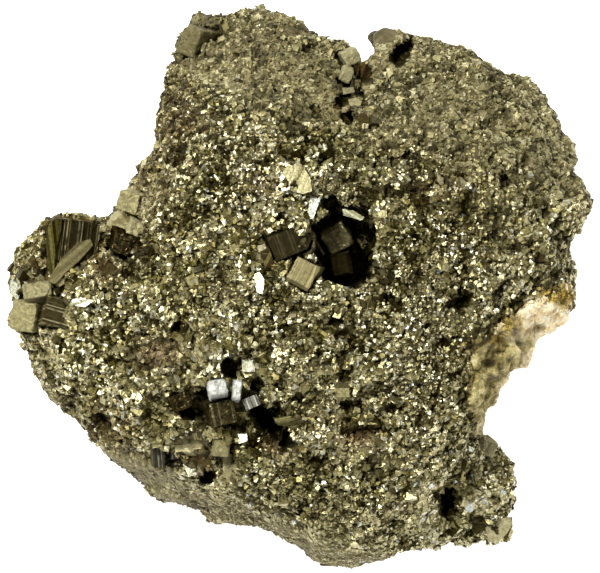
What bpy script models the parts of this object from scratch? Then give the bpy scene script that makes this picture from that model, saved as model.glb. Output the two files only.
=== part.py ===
"""Pyrite specimen: a hand-sized block of granular massive pyrite, lying on its back,
with open crystal-lined vugs, a few large well-formed pyrite crystals and a seam of pale
iron-stained quartz along its lower right flank.

Row frame: metres, +Z up. The block rests on z = 0 with its crystal face up.
+X runs across the face to the right and +Y up the face, towards the notched edge.
The origin is the centre of the footprint's bounding box, on the resting plane.
"""

import math

import bmesh
import bpy
import numpy as np
from mathutils import Euler, Matrix, Vector

# ---------------------------------------------------------------- driving dimensions
UNIT = 0.00015            # one drawing unit of the face plan, metres
PLAN_CX, PLAN_CY = 300.0, 285.5   # plan centre, drawing units (v runs down the face)
MM = 0.001
HUB = (305.0, 292.0)      # every outline station is seen from here
BASE_INSET = 0.17         # how far the flanks draw in from rim to base, share of radius
BELOW = -3.0              # the rough block runs this far below the resting plane, mm
VOXEL = 0.9 * MM          # size of the blocked-out skin's faces
SKIN_TRIANGLES = 6300     # triangles kept for the mass before its seats are cut
GAP = 0.3                 # clearance between neighbouring solids, mm

# Face plan of the rim, walked clockwise: (u, v, height of the rim above the resting plane, mm).
RIM = [
    # crest of the upper edge
    (243, 4, 15), (258, 7, 15), (268, 12, 16), (278, 14, 16), (300, 17, 17), (307, 20, 17),
    (310, 27, 18), (320, 32, 18), (336, 36, 19), (348, 40, 20), (356, 32, 20), (366, 26, 20),
    # lip past the notch and the long upper right slope
    (380, 25, 19), (395, 27, 18), (410, 29, 18), (428, 35, 18), (450, 40, 18), (463, 47, 18),
    (476, 50, 18), (488, 59, 18), (500, 68, 18), (520, 75, 18), (533, 81, 18), (541, 88, 18),
    (550, 98, 18), (558, 112, 19), (563, 122, 20), (566, 133, 21), (574, 140, 22),
    (577, 150, 23), (576, 163, 24), (572, 175, 25),
    # right spur
    (567, 186, 27), (578, 189, 28), (588, 193, 29), (593, 201, 29), (595, 206, 29),
    (588, 213, 29), (583, 222, 28), (574, 231, 28), (563, 237, 28), (566, 245, 28),
    (565, 254, 28), (567, 262, 28), (574, 268, 28), (576, 280, 27), (578, 290, 27),
    # quartz seam flank
    (569, 299, 31), (568, 312, 31), (561, 321, 31), (547, 325, 31), (538, 331, 31),
    (533, 342, 31), (530, 352, 30), (527, 362, 28), (515, 368, 28), (505, 371, 30),
    (500, 378, 31), (495, 392, 31), (490, 410, 30), (484, 419, 30), (480, 428, 29),
    # under the lobe, along the lower edge
    (476, 450, 27), (470, 480, 26), (466, 512, 25), (460, 533, 24), (452, 540, 23),
    (440, 544, 23), (430, 550, 22), (421, 547, 22), (413, 545, 22), (408, 553, 22),
    (398, 556, 22), (393, 561, 22), (370, 566, 22), (350, 568, 22), (335, 567, 22),
    (320, 564, 22), (308, 557, 21), (298, 552, 21), (290, 546, 20), (280, 537, 20),
    (270, 532, 19), (250, 525, 18), (238, 522, 17), (228, 522, 16), (218, 525, 15),
    (208, 523, 15), (198, 520, 14), (190, 513, 14), (178, 509, 13),
    # smooth lower left slope
    (160, 502, 13), (145, 492, 13), (130, 483, 14), (123, 474, 14), (113, 463, 14),
    (106, 451, 15), (100, 438, 15), (92, 434, 15), (82, 430, 16), (72, 423, 16),
    (61, 411, 16), (51, 401, 17), (43, 389, 17), (34, 377, 18), (27, 363, 19),
    (19, 346, 20), (17, 336, 20), (9, 323, 21), (8, 313, 21), (14, 304, 21), (18, 297, 22),
    # left corner with its crystals
    (9, 291, 22), (6, 286, 22), (9, 276, 22), (11, 264, 22), (17, 249, 22), (27, 239, 22),
    (39, 233, 22), (45, 229, 22), (51, 221, 22), (60, 217, 22), (88, 217, 23),
    (97, 220, 23), (108, 220, 23), (113, 210, 22), (117, 198, 22), (126, 184, 21),
    (135, 171, 21), (141, 159, 21), (151, 151, 21), (154, 142, 21), (157, 130, 21),
    # steep left edge up to the crest
    (156, 120, 21), (160, 100, 20), (165, 85, 19), (164, 75, 18), (167, 64, 18),
    (173, 53, 16), (180, 39, 15), (189, 27, 15), (199, 18, 15), (213, 18, 15),
    (222, 12, 15), (232, 7, 15),
]

# Spot heights of the face: (u, v, height in mm).
SPOTS = [
    (300, 300, 44), (250, 260, 45), (286, 182, 46), (240, 200, 44.5), (205, 150, 41.5),
    (188, 112, 37), (230, 112, 38), (180, 200, 42), (150, 240, 38.5), (165, 300, 40),
    (205, 330, 42), (250, 335, 44), (205, 262, 43.5), (300, 222, 45.2),
    (350, 330, 44.5), (395, 300, 43.5), (430, 250, 44), (395, 205, 43), (450, 200, 42.5),
    (500, 222, 41), (545, 214, 38), (480, 262, 42), (525, 268, 39.5), (470, 312, 41.5),
    (440, 352, 42), (440, 400, 40), (400, 365, 43), (350, 380, 43), (300, 375, 43.5),
    (333, 168, 40.5), (322, 148, 39), (348, 142, 38), (372, 165, 41), (300, 150, 44),
    (282, 126, 39), (240, 82, 31), (222, 50, 23.5), (300, 82, 32), (300, 46, 23.5),
    (338, 104, 32), (400, 104, 33.5), (450, 122, 36), (500, 146, 36), (400, 60, 26.5),
    (450, 78, 27), (500, 104, 28), (540, 122, 26), (548, 162, 32), (350, 72, 24),
    (190, 72, 27), (176, 120, 32), (163, 172, 34),
    (350, 440, 42.5), (300, 440, 42), (398, 446, 40), (330, 498, 37.5), (380, 508, 36),
    (282, 500, 34.5), (332, 540, 31.5), (380, 540, 31), (250, 478, 35), (222, 502, 27),
    (182, 474, 27.5), (142, 454, 25), (205, 430, 37), (162, 400, 35.5), (122, 380, 33),
    (122, 424, 28), (90, 400, 27), (66, 372, 27.5), (54, 340, 30.5), (92, 300, 35),
    (62, 284, 32.5), (34, 262, 28), (70, 248, 30.5), (112, 252, 35.5), (132, 322, 37),
    (134, 208, 32), (440, 440, 38), (430, 482, 36.5), (416, 522, 33), (300, 528, 30),
    (565, 208, 35.5), (583, 206, 33), (552, 260, 36), (560, 284, 33), (530, 294, 37.5),
    (500, 310, 39), (474, 334, 39.5), (460, 368, 39.5), (462, 402, 37), (464, 430, 34),
    (548, 308, 35.5), (520, 328, 36.5), (500, 345, 37), (510, 358, 33.5), (484, 376, 36),
    (482, 404, 34), (450, 290, 42.5),
]

# The lobe at the lower right corner, grown on past the cleft: ball centres in the plan,
# height mm, radius mm.
LOBE = [
    (488, 452, 21.0, 2.0), (498, 475, 21.0, 3.3), (501, 495, 20.0, 3.1), (494, 520, 19.0, 3.4),
    (480, 528, 18.5, 2.7), (498, 533, 17.5, 2.0), (478, 490, 21.0, 4.0), (468, 458, 22.0, 3.4),
    (488, 492, 12.0, 4.4), (472, 505, 8.0, 5.0), (474, 470, 11.0, 4.6), (466, 527, 15.0, 2.6),
]

# Chips broken off the lower flanks: azimuth deg, depth mm at the resting plane, slope deg.
CHIPS = [
    (8, 8.0, 38), (38, 11.5, 42), (72, 7.0, 36), (104, 9.5, 41), (138, 10.5, 44),
    (171, 12.5, 43), (203, 9.0, 38), (236, 8.0, 40), (266, 6.5, 36), (298, 8.5, 41),
    (334, 9.5, 39),
]

# Vugs, clefts and pits as lumpy cutters: (u, v, z mm, half width u, v, z in mm, seed).
VUGS = [
    # central vug
    (344, 247, 39.4, 5.7, 5.7, 10.6, 1), (350, 262, 37.6, 5.2, 4.4, 8.0, 2),
    (332, 205, 42.0, 1.8, 2.6, 5.2, 3), (330, 264, 39.0, 3.4, 3.6, 7.0, 4),
    (324, 236, 41.0, 2.7, 2.7, 6.4, 25),
    # lower left vug and its branches
    (262, 420, 40.0, 3.4, 4.4, 7.0, 5), (240, 392, 41.0, 4.4, 3.8, 5.6, 6),
    (205, 408, 37.5, 4.6, 3.2, 4.6, 7), (208, 470, 33.5, 2.6, 4.4, 4.8, 8),
    (238, 362, 43.0, 3.0, 2.2, 3.2, 9),
    # dark hollow below the centre
    (372, 428, 41.5, 5.0, 2.6, 4.2, 10), (350, 412, 43.0, 3.0, 2.2, 3.0, 11),
    (402, 392, 42.2, 3.4, 1.9, 2.6, 12),
    # cleft between face and lobe
    (447, 502, 32.0, 2.3, 3.6, 9.0, 13), (459, 477, 31.0, 1.5, 3.4, 5.0, 14),
    (452, 522, 29.0, 1.6, 2.4, 5.0, 26),
    # gully below the notch
    (364, 82, 28.5, 1.9, 2.6, 4.0, 15), (352, 100, 31.5, 2.6, 1.6, 2.8, 16),
    (352, 118, 34.0, 2.0, 1.5, 2.6, 17), (403, 48, 25.5, 1.5, 2.2, 2.6, 18),
    # pits of the right half
    (505, 183, 38.5, 1.5, 1.4, 2.6, 19), (460, 302, 41.5, 1.8, 1.7, 2.2, 20),
    (333, 156, 40.5, 2.2, 3.6, 2.8, 21), (452, 348, 41.8, 1.4, 1.7, 2.0, 22),
    # step beside the left crystals
    (198, 372, 41.0, 2.0, 1.2, 2.4, 23), (92, 342, 32.8, 1.3, 1.3, 2.0, 24),
]

# The notch in the upper edge, cut right through: plan of the cutter.
NOTCH = [(347, 4), (354, 44), (358, 50), (361, 58), (365, 60), (376, 51), (370, 45),
         (367, 37), (369, 31), (377, 26), (380, 4)]

# Quartz seam: where its inner edge meets the face, in the plan, at SEAM_EDGE_Z; the seam
# dips inward below that and its far corners lie outside the rock.
SEAM_EDGE = [(590, 296), (566, 297), (545, 296), (528, 300), (515, 312), (500, 318), (480, 334),
             (469, 347), (468, 368), (463, 384), (465, 404), (470, 424), (476, 438),
             (500, 436), (530, 424), (580, 380), (616, 320)]
SEAM_EDGE_Z = 31.0
SEAM_DIP = (-0.62, -0.50)      # plan units the seam's inner wall moves (u, v) per mm of depth
SEAM_TOP_Z, SEAM_FOOT_Z = 52.0, -8.0

# Large crystals. Each is a block cut back by planes: (u, v, z mm, size x, y, z mm,
# Euler degrees, [(plane normal in the crystal's own axes, share of the corner's distance kept)]).
OCTA = [((1, 1, 1), 0.86), ((-1, 1, 1), 0.88), ((1, -1, 1), 0.85), ((-1, -1, 1), 0.87)]
CRYSTALS = {
    "vug_crystal_pair": [
        (336, 235, 34.6, 4.2, 4.1, 5.6, (12, -6, 28), OCTA + [((0, 1, 1), 0.84)]),
        (338, 259, 33.2, 3.2, 4.2, 6.0, (26, 6, 14), [((0, -1, 1), 0.80), ((1, 0, 1), 0.84)]),
        (320, 248, 31.6, 1.5, 4.2, 5.0, (8, -20, 28), [((1, 0, 1), 0.80)]),
    ],
    "vug_rim_crystal": [
        (285, 241, 42.2, 6.2, 4.0, 7.4, (8, 10, 22), OCTA[:2] + [((1, -1, 0.6), 0.84)]),
        (305, 274, 42.2, 3.9, 4.1, 6.8, (4, -6, -27), [((1, 0.2, 1), 0.86), ((0, -1, 1), 0.86)]),
        (277, 263, 40.4, 4.6, 3.8, 6.0, (12, 6, 20), [((-1, 0, 1), 0.84)]),
    ],
    "shoulder_crystal": [
        (73, 240, 28.2, 6.8, 6.4, 9.0, (3, 8, -7),
         [((1, -1, 0), 0.66), ((-1, 1.4, 0), 0.84), ((1, 2.2, 0), 0.90), ((1, -0.5, 1), 0.88)]),
        (59, 259, 28.2, 3.8, 4.6, 7.0, (4, 8, -7), [((1, -1, 0), 0.70), ((-1, 0, 1), 0.86)]),
    ],
    "edge_crystal": [
        (55, 314, 28.6, 4.3, 4.1, 7.6, (7, 7, 75), [((1, 1, 1), 0.88), ((1, -1, 0.3), 0.84)]),
        (29, 316, 25.0, 4.2, 4.6, 6.6, (4, -17, -10), [((-1, -1, 0.3), 0.84), ((-1, 1, 0.4), 0.90)]),
        (39, 298, 26.0, 4.6, 2.8, 7.0, (-24, 0, 8), [((-1, 1, 1), 0.88), ((1, 1, 1), 0.90)]),
    ],
    "corner_crystals": [
        (135, 202, 29.0, 3.7, 3.3, 6.4, (8, -18, -18), [((-1, 1, 0.4), 0.86)]),
        (122, 221, 29.6, 3.3, 2.8, 6.4, (8, -16, 36), [((-1, 0, 1), 0.88)]),
        (137, 229, 33.0, 3.2, 2.6, 6.4, (4, 6, -28), [((1, 1, 1), 0.88)]),
        (131, 244, 34.4, 6.2, 3.4, 6.0, (7, 8, -16), [((1, 1, 0.2), 0.88), ((-1, -1, 0.4), 0.86)]),
    ],
    "crest_crystal": [
        (198, 42, 18.4, 3.4, 4.8, 6.4, (8, -28, -22), [((-1, 1, 0.3), 0.80), ((1, 1, 1), 0.90)]),
    ],
    "lower_vug_crystals": [
        (218, 389, 40.4, 3.0, 2.5, 5.0, (-10, 3, 12), OCTA[:3]),
        (221, 411, 37.8, 4.2, 3.8, 5.0, (8, 8, 12), [((1, 1, 1), 0.86)]),
        (237, 390, 40.0, 1.5, 3.2, 4.8, (-9, 2, -6), [((0, 1, 1), 0.84)]),
        (251, 402, 38.4, 2.6, 1.9, 4.4, (-2, 5, 22), [((1, 0, 1), 0.88)]),
        (212, 405, 36.4, 2.8, 2.6, 3.4, (8, 14, 38), [((-1, -1, 1), 0.86)]),
    ],
    "dark_vug_crystal": [
        (181, 400, 37.0, 3.1, 2.8, 3.8, (8, 8, 24), [((-1, -1, 1), 0.84), ((1, 1, 1), 0.86)]),
    ],
    "striated_crystal_pair": [
        (161, 452, 27.9, 2.4, 3.8, 4.8, (10, -14, 2), [((-1, 0, 1), 0.80)]),
        (173, 450, 27.6, 2.0, 2.2, 4.2, (12, 16, 2), [((1, 0, 1), 0.82)]),
    ],
    "square_crystal": [
        (221, 447, 36.4, 2.3, 2.6, 4.4, (4, 10, 2), [((0, 1, 1), 0.84), ((1, 0, 1), 0.86)]),
    ],
    "notch_crystals": [
        (350, 56, 21.6, 2.9, 2.5, 4.4, (6, 5, 24), OCTA[:3]),
        (346, 74, 24.9, 2.0, 2.5, 4.0, (7, 8, -24), OCTA[1:3]),
    ],
    "lobe_crystal": [
        (487, 447, 22.8, 2.9, 2.6, 4.4, (6, 4, -24), [((1, 1, 1), 0.86), ((-1, 1, 1), 0.84)]),
    ],
}

COLOURS = {
    "pyrite_mass": ((0.42, 0.36, 0.20), 0.9, 0.34),
    "quartz_seam": ((0.66, 0.56, 0.36), 0.0, 0.55),
}
CRYSTAL_COLOUR = ((0.46, 0.40, 0.24), 0.95, 0.24)


# ---------------------------------------------------------------- helpers
def at(u, v, z_mm):
    """A drawing position and a height in mm as a point in metres."""
    return Vector(((u - PLAN_CX) * UNIT, (PLAN_CY - v) * UNIT, z_mm * MM))


def material(name, colour, metallic, roughness):
    made = bpy.data.materials.new(name)
    made.use_nodes = True
    shader = made.node_tree.nodes["Principled BSDF"]
    shader.inputs["Base Color"].default_value = (*colour, 1.0)
    shader.inputs["Metallic"].default_value = metallic
    shader.inputs["Roughness"].default_value = roughness
    return made


def new_object(name, bm=None, mesh=None):
    if mesh is None:
        mesh = bpy.data.meshes.new(name)
        bmesh.ops.recalc_face_normals(bm, faces=bm.faces)
        bm.to_mesh(mesh)
        bm.free()
    obj = bpy.data.objects.new(name, mesh)
    bpy.context.scene.collection.objects.link(obj)
    return obj


def settle(obj):
    """Applies the object's modifiers to its own mesh."""
    graph = bpy.context.evaluated_depsgraph_get()
    graph.update()
    done = bpy.data.meshes.new_from_object(obj.evaluated_get(graph))
    obj.modifiers.clear()
    old = obj.data
    obj.data = done
    bpy.data.meshes.remove(old)
    return obj


def boolean(obj, other, operation):
    step = obj.modifiers.new(operation.lower(), "BOOLEAN")
    step.operation = operation
    step.solver = "EXACT"
    step.object = other
    settle(obj)
    return obj


def reskin(obj):
    """One clean closed skin of small even faces."""
    skin = obj.modifiers.new("skin", "REMESH")
    skin.mode = "VOXEL"
    skin.voxel_size = VOXEL
    return settle(obj)


def drop(obj):
    bpy.data.objects.remove(obj)


def hashed(cells, seed):
    """Three repeatable random numbers in 0..1 for each row of whole numbers."""
    c = cells.astype(np.int64)
    h = c[:, 0] * 73856093 ^ c[:, 1] * 19349663 ^ c[:, 2] * 83492791 ^ seed * 2654435761
    found = []
    for k in range(3):
        x = (h + k * 0x9E3779B9) & 0xFFFFFFFF
        x = ((x ^ (x >> 16)) * 0x45D9F3B) & 0xFFFFFFFF
        x = ((x ^ (x >> 16)) * 0x45D9F3B) & 0xFFFFFFFF
        found.append(((x ^ (x >> 16)) & 0xFFFFFF) / float(0x1000000))
    return np.stack(found, axis=1)


def broken_facets(points, size, seed):
    """Height of a surface broken into flat tilted facets about size across, -1 to 1."""
    home = np.floor(points / size).astype(np.int64)
    best = np.full(len(points), 1e9)
    value = np.zeros(len(points))
    for i in (-1, 0, 1):
        for j in (-1, 0, 1):
            for k in (-1, 0, 1):
                cell = home + np.array((i, j, k))
                centre = (cell + hashed(cell, seed)) * size
                away = points - centre
                dist = (away**2).sum(axis=1)
                tilt = hashed(cell, seed + 57) * 2 - 1
                lift = hashed(cell, seed + 91)[:, 0] * 2 - 1
                here = 0.55 * lift + 0.9 * (away * tilt).sum(axis=1) / size
                nearer = dist < best
                best = np.where(nearer, dist, best)
                value = np.where(nearer, here, value)
    return value


def coords(mesh):
    co = np.empty(len(mesh.vertices) * 3, np.float32)
    mesh.vertices.foreach_get("co", co)
    return co.reshape(-1, 3).astype(float)


def normals(mesh):
    n = np.empty(len(mesh.vertices) * 3, np.float32)
    mesh.vertices.foreach_get("normal", n)
    return n.reshape(-1, 3).astype(float)


# ---------------------------------------------------------------- the blocked-out mass
def height_field():
    """A surface through every rim station and spot height: sum of weighted distances."""
    known = np.array(RIM + SPOTS, float)
    gap = np.linalg.norm(known[:, None, :2] - known[None, :, :2], axis=2)
    system = np.block([[gap, np.ones((len(known), 1))], [np.ones((1, len(known))), np.zeros((1, 1))]])
    weights = np.linalg.solve(system, np.append(known[:, 2], 0.0))

    def height(u, v):
        away = np.hypot(known[:, 0] - u, known[:, 1] - v)
        return float(weights[:-1] @ away + weights[-1])

    return height


def rim_stations(count):
    """The rim walked at even steps: (u, v, z)."""
    pts = np.array(RIM + RIM[:1], float)
    run = np.concatenate([[0], np.cumsum(np.hypot(*(np.diff(pts[:, :2], axis=0).T)))])
    want = np.linspace(0, run[-1], count, endpoint=False)
    return np.stack([np.interp(want, run, pts[:, k]) for k in range(3)], axis=1)


def block():
    """Closed loft: base rings, flank, rim, and rings over the face up to its hub."""
    height = height_field()
    stations = rim_stations(230)
    count = len(stations)
    turn = np.linspace(0, 2 * math.pi, count, endpoint=False)
    inset = BASE_INSET * (1 + 0.35 * np.sin(3 * turn + 0.7) + 0.25 * np.sin(5 * turn + 2.1))
    bm = bmesh.new()
    rings = []

    def ring(share, z_of):
        made = []
        for k, (u, v, z) in enumerate(stations):
            s = share(k)
            uu, vv = HUB[0] + s * (u - HUB[0]), HUB[1] + s * (v - HUB[1])
            made.append(bm.verts.new(at(uu, vv, z_of(k, uu, vv, z))))
        rings.append(made)

    for down in (1.0, 0.86, 0.68, 0.5, 0.32, 0.15):
        ring(
            lambda k, d=down: 1 - inset[k] * d**1.7,
            lambda k, uu, vv, z, d=down: z + (BELOW - z) * d,
        )
    ring(lambda k: 1.0, lambda k, uu, vv, z: z)
    for s in (0.985, 0.965, 0.94, 0.91, 0.875, 0.835, 0.79, 0.74, 0.69, 0.635, 0.58, 0.52,
              0.46, 0.40, 0.34, 0.28, 0.22, 0.16, 0.10, 0.05):
        ring(lambda k, s=s: s, lambda k, uu, vv, z: height(uu, vv))
    for lower, upper in zip(rings, rings[1:]):
        for k in range(count):
            n = (k + 1) % count
            bm.faces.new((lower[k], lower[n], upper[n], upper[k]))
    foot = bm.verts.new(at(*HUB, BELOW))
    crown = bm.verts.new(at(*HUB, height(*HUB)))
    for k in range(count):
        n = (k + 1) % count
        bm.faces.new((foot, rings[0][n], rings[0][k]))
        bm.faces.new((crown, rings[-1][k], rings[-1][n]))
    for u, v, z, radius in LOBE:
        bmesh.ops.create_icosphere(
            bm, subdivisions=3, radius=radius * MM, matrix=Matrix.Translation(at(u, v, z))
        )
    return new_object("block", bm)


def lump(name, u, v, z, a, b, c, seed, stretch=1.0):
    """An angular pebble-shaped cutter."""
    bm = bmesh.new()
    bmesh.ops.create_icosphere(bm, subdivisions=3, radius=1.0)
    co = np.array([vert.co[:] for vert in bm.verts])
    facet = broken_facets(co, 0.8, 300 + seed)
    for vert, f in zip(bm.verts, facet):
        vert.co = vert.co * (1 + 0.17 * f)
        vert.co = Vector((vert.co.x * a, vert.co.y * b, vert.co.z * c)) * MM * stretch
        vert.co += at(u, v, z)
    return new_object(name, bm)


def prism(name, top, foot, z_top, z_foot):
    """A solid between two plan outlines with the same number of corners."""
    bm = bmesh.new()
    upper = [bm.verts.new(at(u, v, z_top)) for u, v in top]
    lower = [bm.verts.new(at(u, v, z_foot)) for u, v in foot]
    bm.faces.new(upper)
    bm.faces.new(lower[::-1])
    for k in range(len(top)):
        n = (k + 1) % len(top)
        bm.faces.new((lower[k], lower[n], upper[n]))
        bm.faces.new((lower[k], upper[n], upper[k]))
    bmesh.ops.triangulate(bm, faces=[f for f in bm.faces if len(f.verts) > 3])
    return new_object(name, bm)


def seam_region(by):
    """The seam's share of space, its walls moved outward by so many plan units."""
    middle = np.mean(np.array(SEAM_EDGE, float), axis=0)
    plans = []
    for z in (SEAM_TOP_Z, SEAM_FOOT_Z):
        down = SEAM_EDGE_Z - z
        plan = []
        for u, v in SEAM_EDGE:
            away = np.array((u, v)) - middle
            away = away * (1 + by / np.hypot(*away))
            plan.append((middle[0] + away[0] + SEAM_DIP[0] * down,
                         middle[1] + away[1] + SEAM_DIP[1] * down))
        plans.append(plan)
    return prism("region", *plans, SEAM_TOP_Z + by, SEAM_FOOT_Z - by)


def chip_hull():
    """A big block cut by every chip plane."""
    bm = bmesh.new()
    bmesh.ops.create_cube(bm, size=0.3, matrix=Matrix.Translation((0, 0, 0.3 / 2 - 0.02)))
    hub = at(*HUB, 0)
    for azimuth, depth, slope in CHIPS:
        a, t = math.radians(azimuth), math.radians(slope)
        out = Vector((math.cos(a), math.sin(a), 0))
        reach = max(out.dot(at(u, v, 0) - hub) for u, v, _ in RIM)
        reach = max([reach] + [out.dot(at(u, v, 0) - hub) + r * MM for u, v, _, r in LOBE])
        normal = out * math.cos(t) + Vector((0, 0, -math.sin(t)))
        bmesh.ops.bisect_plane(
            bm, geom=bm.verts[:] + bm.edges[:] + bm.faces[:], dist=1e-7,
            plane_co=hub + out * (reach - depth * MM), plane_no=normal, clear_outer=True,
        )
        bmesh.ops.contextual_create(bm, geom=[e for e in bm.edges if e.is_boundary])
    bmesh.ops.triangulate(bm, faces=bm.faces[:])
    return new_object("chips", bm)


# ---------------------------------------------------------------- crystals
def crystal(name, spec, grow=0.0):
    """A cube cut back by planes. grow pushes every face out, in mm, for a seat cutter."""
    u, v, z, sx, sy, sz, turn, cuts = spec
    half = Vector((sx, sy, sz)) / 2
    bm = bmesh.new()
    bmesh.ops.create_cube(bm, size=2.0)
    for vert in bm.verts:
        vert.co = Vector((vert.co.x * (half.x + grow), vert.co.y * (half.y + grow),
                          vert.co.z * (half.z + grow)))
    for normal, kept in cuts:
        n = Vector(normal)
        n_unit = n.normalized()
        corner = abs(n_unit.x) * half.x + abs(n_unit.y) * half.y + abs(n_unit.z) * half.z
        distance = corner * kept + grow
        bmesh.ops.bisect_plane(
            bm, geom=bm.verts[:] + bm.edges[:] + bm.faces[:], dist=1e-6,
            plane_co=n_unit * distance, plane_no=n_unit, clear_outer=True,
        )
        rim = [e for e in bm.edges if e.is_boundary]
        if rim:
            bmesh.ops.contextual_create(bm, geom=rim)
    matrix = Matrix.Translation(at(u, v, z)) @ Euler([math.radians(a) for a in turn]).to_matrix().to_4x4()
    for vert in bm.verts:
        vert.co = matrix @ (vert.co * MM)
    bmesh.ops.triangulate(bm, faces=bm.faces[:])
    return new_object(name, bm)


# ---------------------------------------------------------------- build
def main():
    for obj in list(bpy.data.objects):
        bpy.data.objects.remove(obj)

    mass = block()
    reskin(mass)
    chips = chip_hull()
    boolean(mass, chips, "INTERSECT")
    drop(chips)

    # Open hollows. The cutters are joined into one skin first, so that one cut takes them all.
    cutters = [lump(f"vug_{k}", *v) for k, v in enumerate(VUGS)]
    for other in cutters[1:]:
        boolean(cutters[0], other, "UNION")
        drop(other)
    boolean(mass, cutters[0], "DIFFERENCE")
    drop(cutters[0])
    notch = prism("notch", NOTCH, NOTCH, 60.0, -10.0)
    boolean(mass, notch, "DIFFERENCE")
    drop(notch)
    reskin(mass)

    # Broken surface: coarse facets where the rock parted, finer ones over them.
    co, no = coords(mass.data), normals(mass.data)
    move = 0.95 * broken_facets(co / MM, 8.5, 11) + 0.7 * broken_facets(co / MM, 3.8, 12)
    inner = np.clip((co[:, 2] / MM - 2.0) / 6.0, 0.0, 1.0)
    co += no * (move * MM * (0.5 + 0.5 * inner))[:, None]
    mass.data.vertices.foreach_set("co", co.astype(np.float32).ravel())
    mass.data.update()
    reskin(mass)

    count = sum(len(p.vertices) - 2 for p in mass.data.polygons)
    fewer = mass.modifiers.new("fewer", "DECIMATE")
    fewer.decimate_type = "COLLAPSE"
    fewer.ratio = SKIN_TRIANGLES / count
    settle(mass)

    # The resting face: one flat break.
    bm = bmesh.new()
    bmesh.ops.create_cube(bm, size=0.2, matrix=Matrix.Translation((0, 0, -0.1)))
    floor = new_object("floor", bm)
    boolean(mass, floor, "DIFFERENCE")
    drop(floor)
    mass.name = "pyrite_mass"

    # Quartz seam: its share of the block, with clearance left in the mass.
    seam = new_object("quartz_seam", mesh=mass.data.copy())
    region = seam_region(0.0)
    boolean(seam, region, "INTERSECT")
    drop(region)
    region = seam_region(2.6)
    boolean(mass, region, "DIFFERENCE")
    drop(region)

    # Crystals, each group one solid, in a seat cut into the mass.
    for name, specs in CRYSTALS.items():
        group = crystal(name, specs[0])
        for k, spec in enumerate(specs[1:]):
            other = crystal(f"{name}_{k}", spec)
            boolean(group, other, "UNION")
            drop(other)
        group.data.materials.clear()
        for k, spec in enumerate(specs):
            seat = crystal("seat", spec, grow=GAP)
            boolean(mass, seat, "DIFFERENCE")
            drop(seat)
        group.data.materials.append(material(name, *CRYSTAL_COLOUR))

    for obj in (mass, seam):
        # Booleans can leave crumbs: the largest piece is the rock.
        bm = bmesh.new()
        bm.from_mesh(obj.data)
        bmesh.ops.triangulate(bm, faces=bm.faces[:])
        bm.verts.ensure_lookup_table()
        seen, islands = set(), []
        for vert in bm.verts:
            if vert in seen:
                continue
            island, todo = [], [vert]
            seen.add(vert)
            while todo:
                here = todo.pop()
                island.append(here)
                for edge in here.link_edges:
                    there = edge.other_vert(here)
                    if there not in seen:
                        seen.add(there)
                        todo.append(there)
            islands.append(island)
        islands.sort(key=len, reverse=True)
        for island in islands[1:]:
            bmesh.ops.delete(bm, geom=island, context="VERTS")
        bm.to_mesh(obj.data)
        bm.free()
        obj.data.materials.clear()
        obj.data.materials.append(material(obj.name, *COLOURS[obj.name]))

    # Put the footprint's middle on the origin.
    lo, hi = np.full(3, 1e9), np.full(3, -1e9)
    for obj in bpy.context.scene.objects:
        c = coords(obj.data)
        lo, hi = np.minimum(lo, c.min(axis=0)), np.maximum(hi, c.max(axis=0))
    shift = Matrix.Translation((-(lo[0] + hi[0]) / 2, -(lo[1] + hi[1]) / 2, -lo[2]))
    for obj in bpy.context.scene.objects:
        obj.data.transform(shift)
        obj.data.update()
    print("span", (hi - lo) / MM, "shift", shift.translation / MM)
    print({o.name: len(o.data.polygons) for o in bpy.context.scene.objects})


main()
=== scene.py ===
"""Looks of the pyrite specimen: granular skin, grown-in crystals, quartz seam, light and camera."""

import math

import bmesh
import bpy
import numpy as np
from mathutils import Euler, Matrix, Vector
from mathutils.bvhtree import BVHTree


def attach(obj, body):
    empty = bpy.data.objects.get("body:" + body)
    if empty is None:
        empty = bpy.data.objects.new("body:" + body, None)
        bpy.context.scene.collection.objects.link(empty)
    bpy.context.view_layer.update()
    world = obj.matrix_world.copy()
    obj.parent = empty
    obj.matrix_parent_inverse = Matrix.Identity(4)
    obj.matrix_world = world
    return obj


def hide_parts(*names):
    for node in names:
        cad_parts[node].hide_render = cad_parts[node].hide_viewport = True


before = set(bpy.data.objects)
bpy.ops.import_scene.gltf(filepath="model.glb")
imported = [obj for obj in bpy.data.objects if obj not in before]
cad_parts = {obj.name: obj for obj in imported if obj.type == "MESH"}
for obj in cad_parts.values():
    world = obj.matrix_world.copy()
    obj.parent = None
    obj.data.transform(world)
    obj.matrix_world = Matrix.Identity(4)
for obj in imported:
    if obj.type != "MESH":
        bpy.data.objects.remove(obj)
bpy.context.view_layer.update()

MM = 0.001
UNIT = 0.15                       # mm per unit of the face plan (u right, v down)
PLAN = (300.0, 285.5)             # plan centre
SHIFT = (-0.0121, 0.1106)         # where the part puts that centre, mm


def xy(u, v):
    """Plan position to mm."""
    return (u - PLAN[0]) * UNIT + SHIFT[0], (PLAN[1] - v) * UNIT + SHIFT[1]


def plan_of(p):
    """mm points to plan units."""
    return (p[:, 0] - SHIFT[0]) / UNIT + PLAN[0], PLAN[1] - (p[:, 1] - SHIFT[1]) / UNIT


# ------------------------------------------------------------------ noise
def hashed(cells, seed):
    c = cells.astype(np.int64)
    h = c[:, 0] * 73856093 ^ c[:, 1] * 19349663 ^ c[:, 2] * 83492791 ^ seed * 2654435761
    found = []
    for k in range(3):
        x = (h + k * 0x9E3779B9) & 0xFFFFFFFF
        x = ((x ^ (x >> 16)) * 0x45D9F3B) & 0xFFFFFFFF
        x = ((x ^ (x >> 16)) * 0x45D9F3B) & 0xFFFFFFFF
        found.append(((x ^ (x >> 16)) & 0xFFFFFF) / float(0x1000000))
    return np.stack(found, axis=1)


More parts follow.
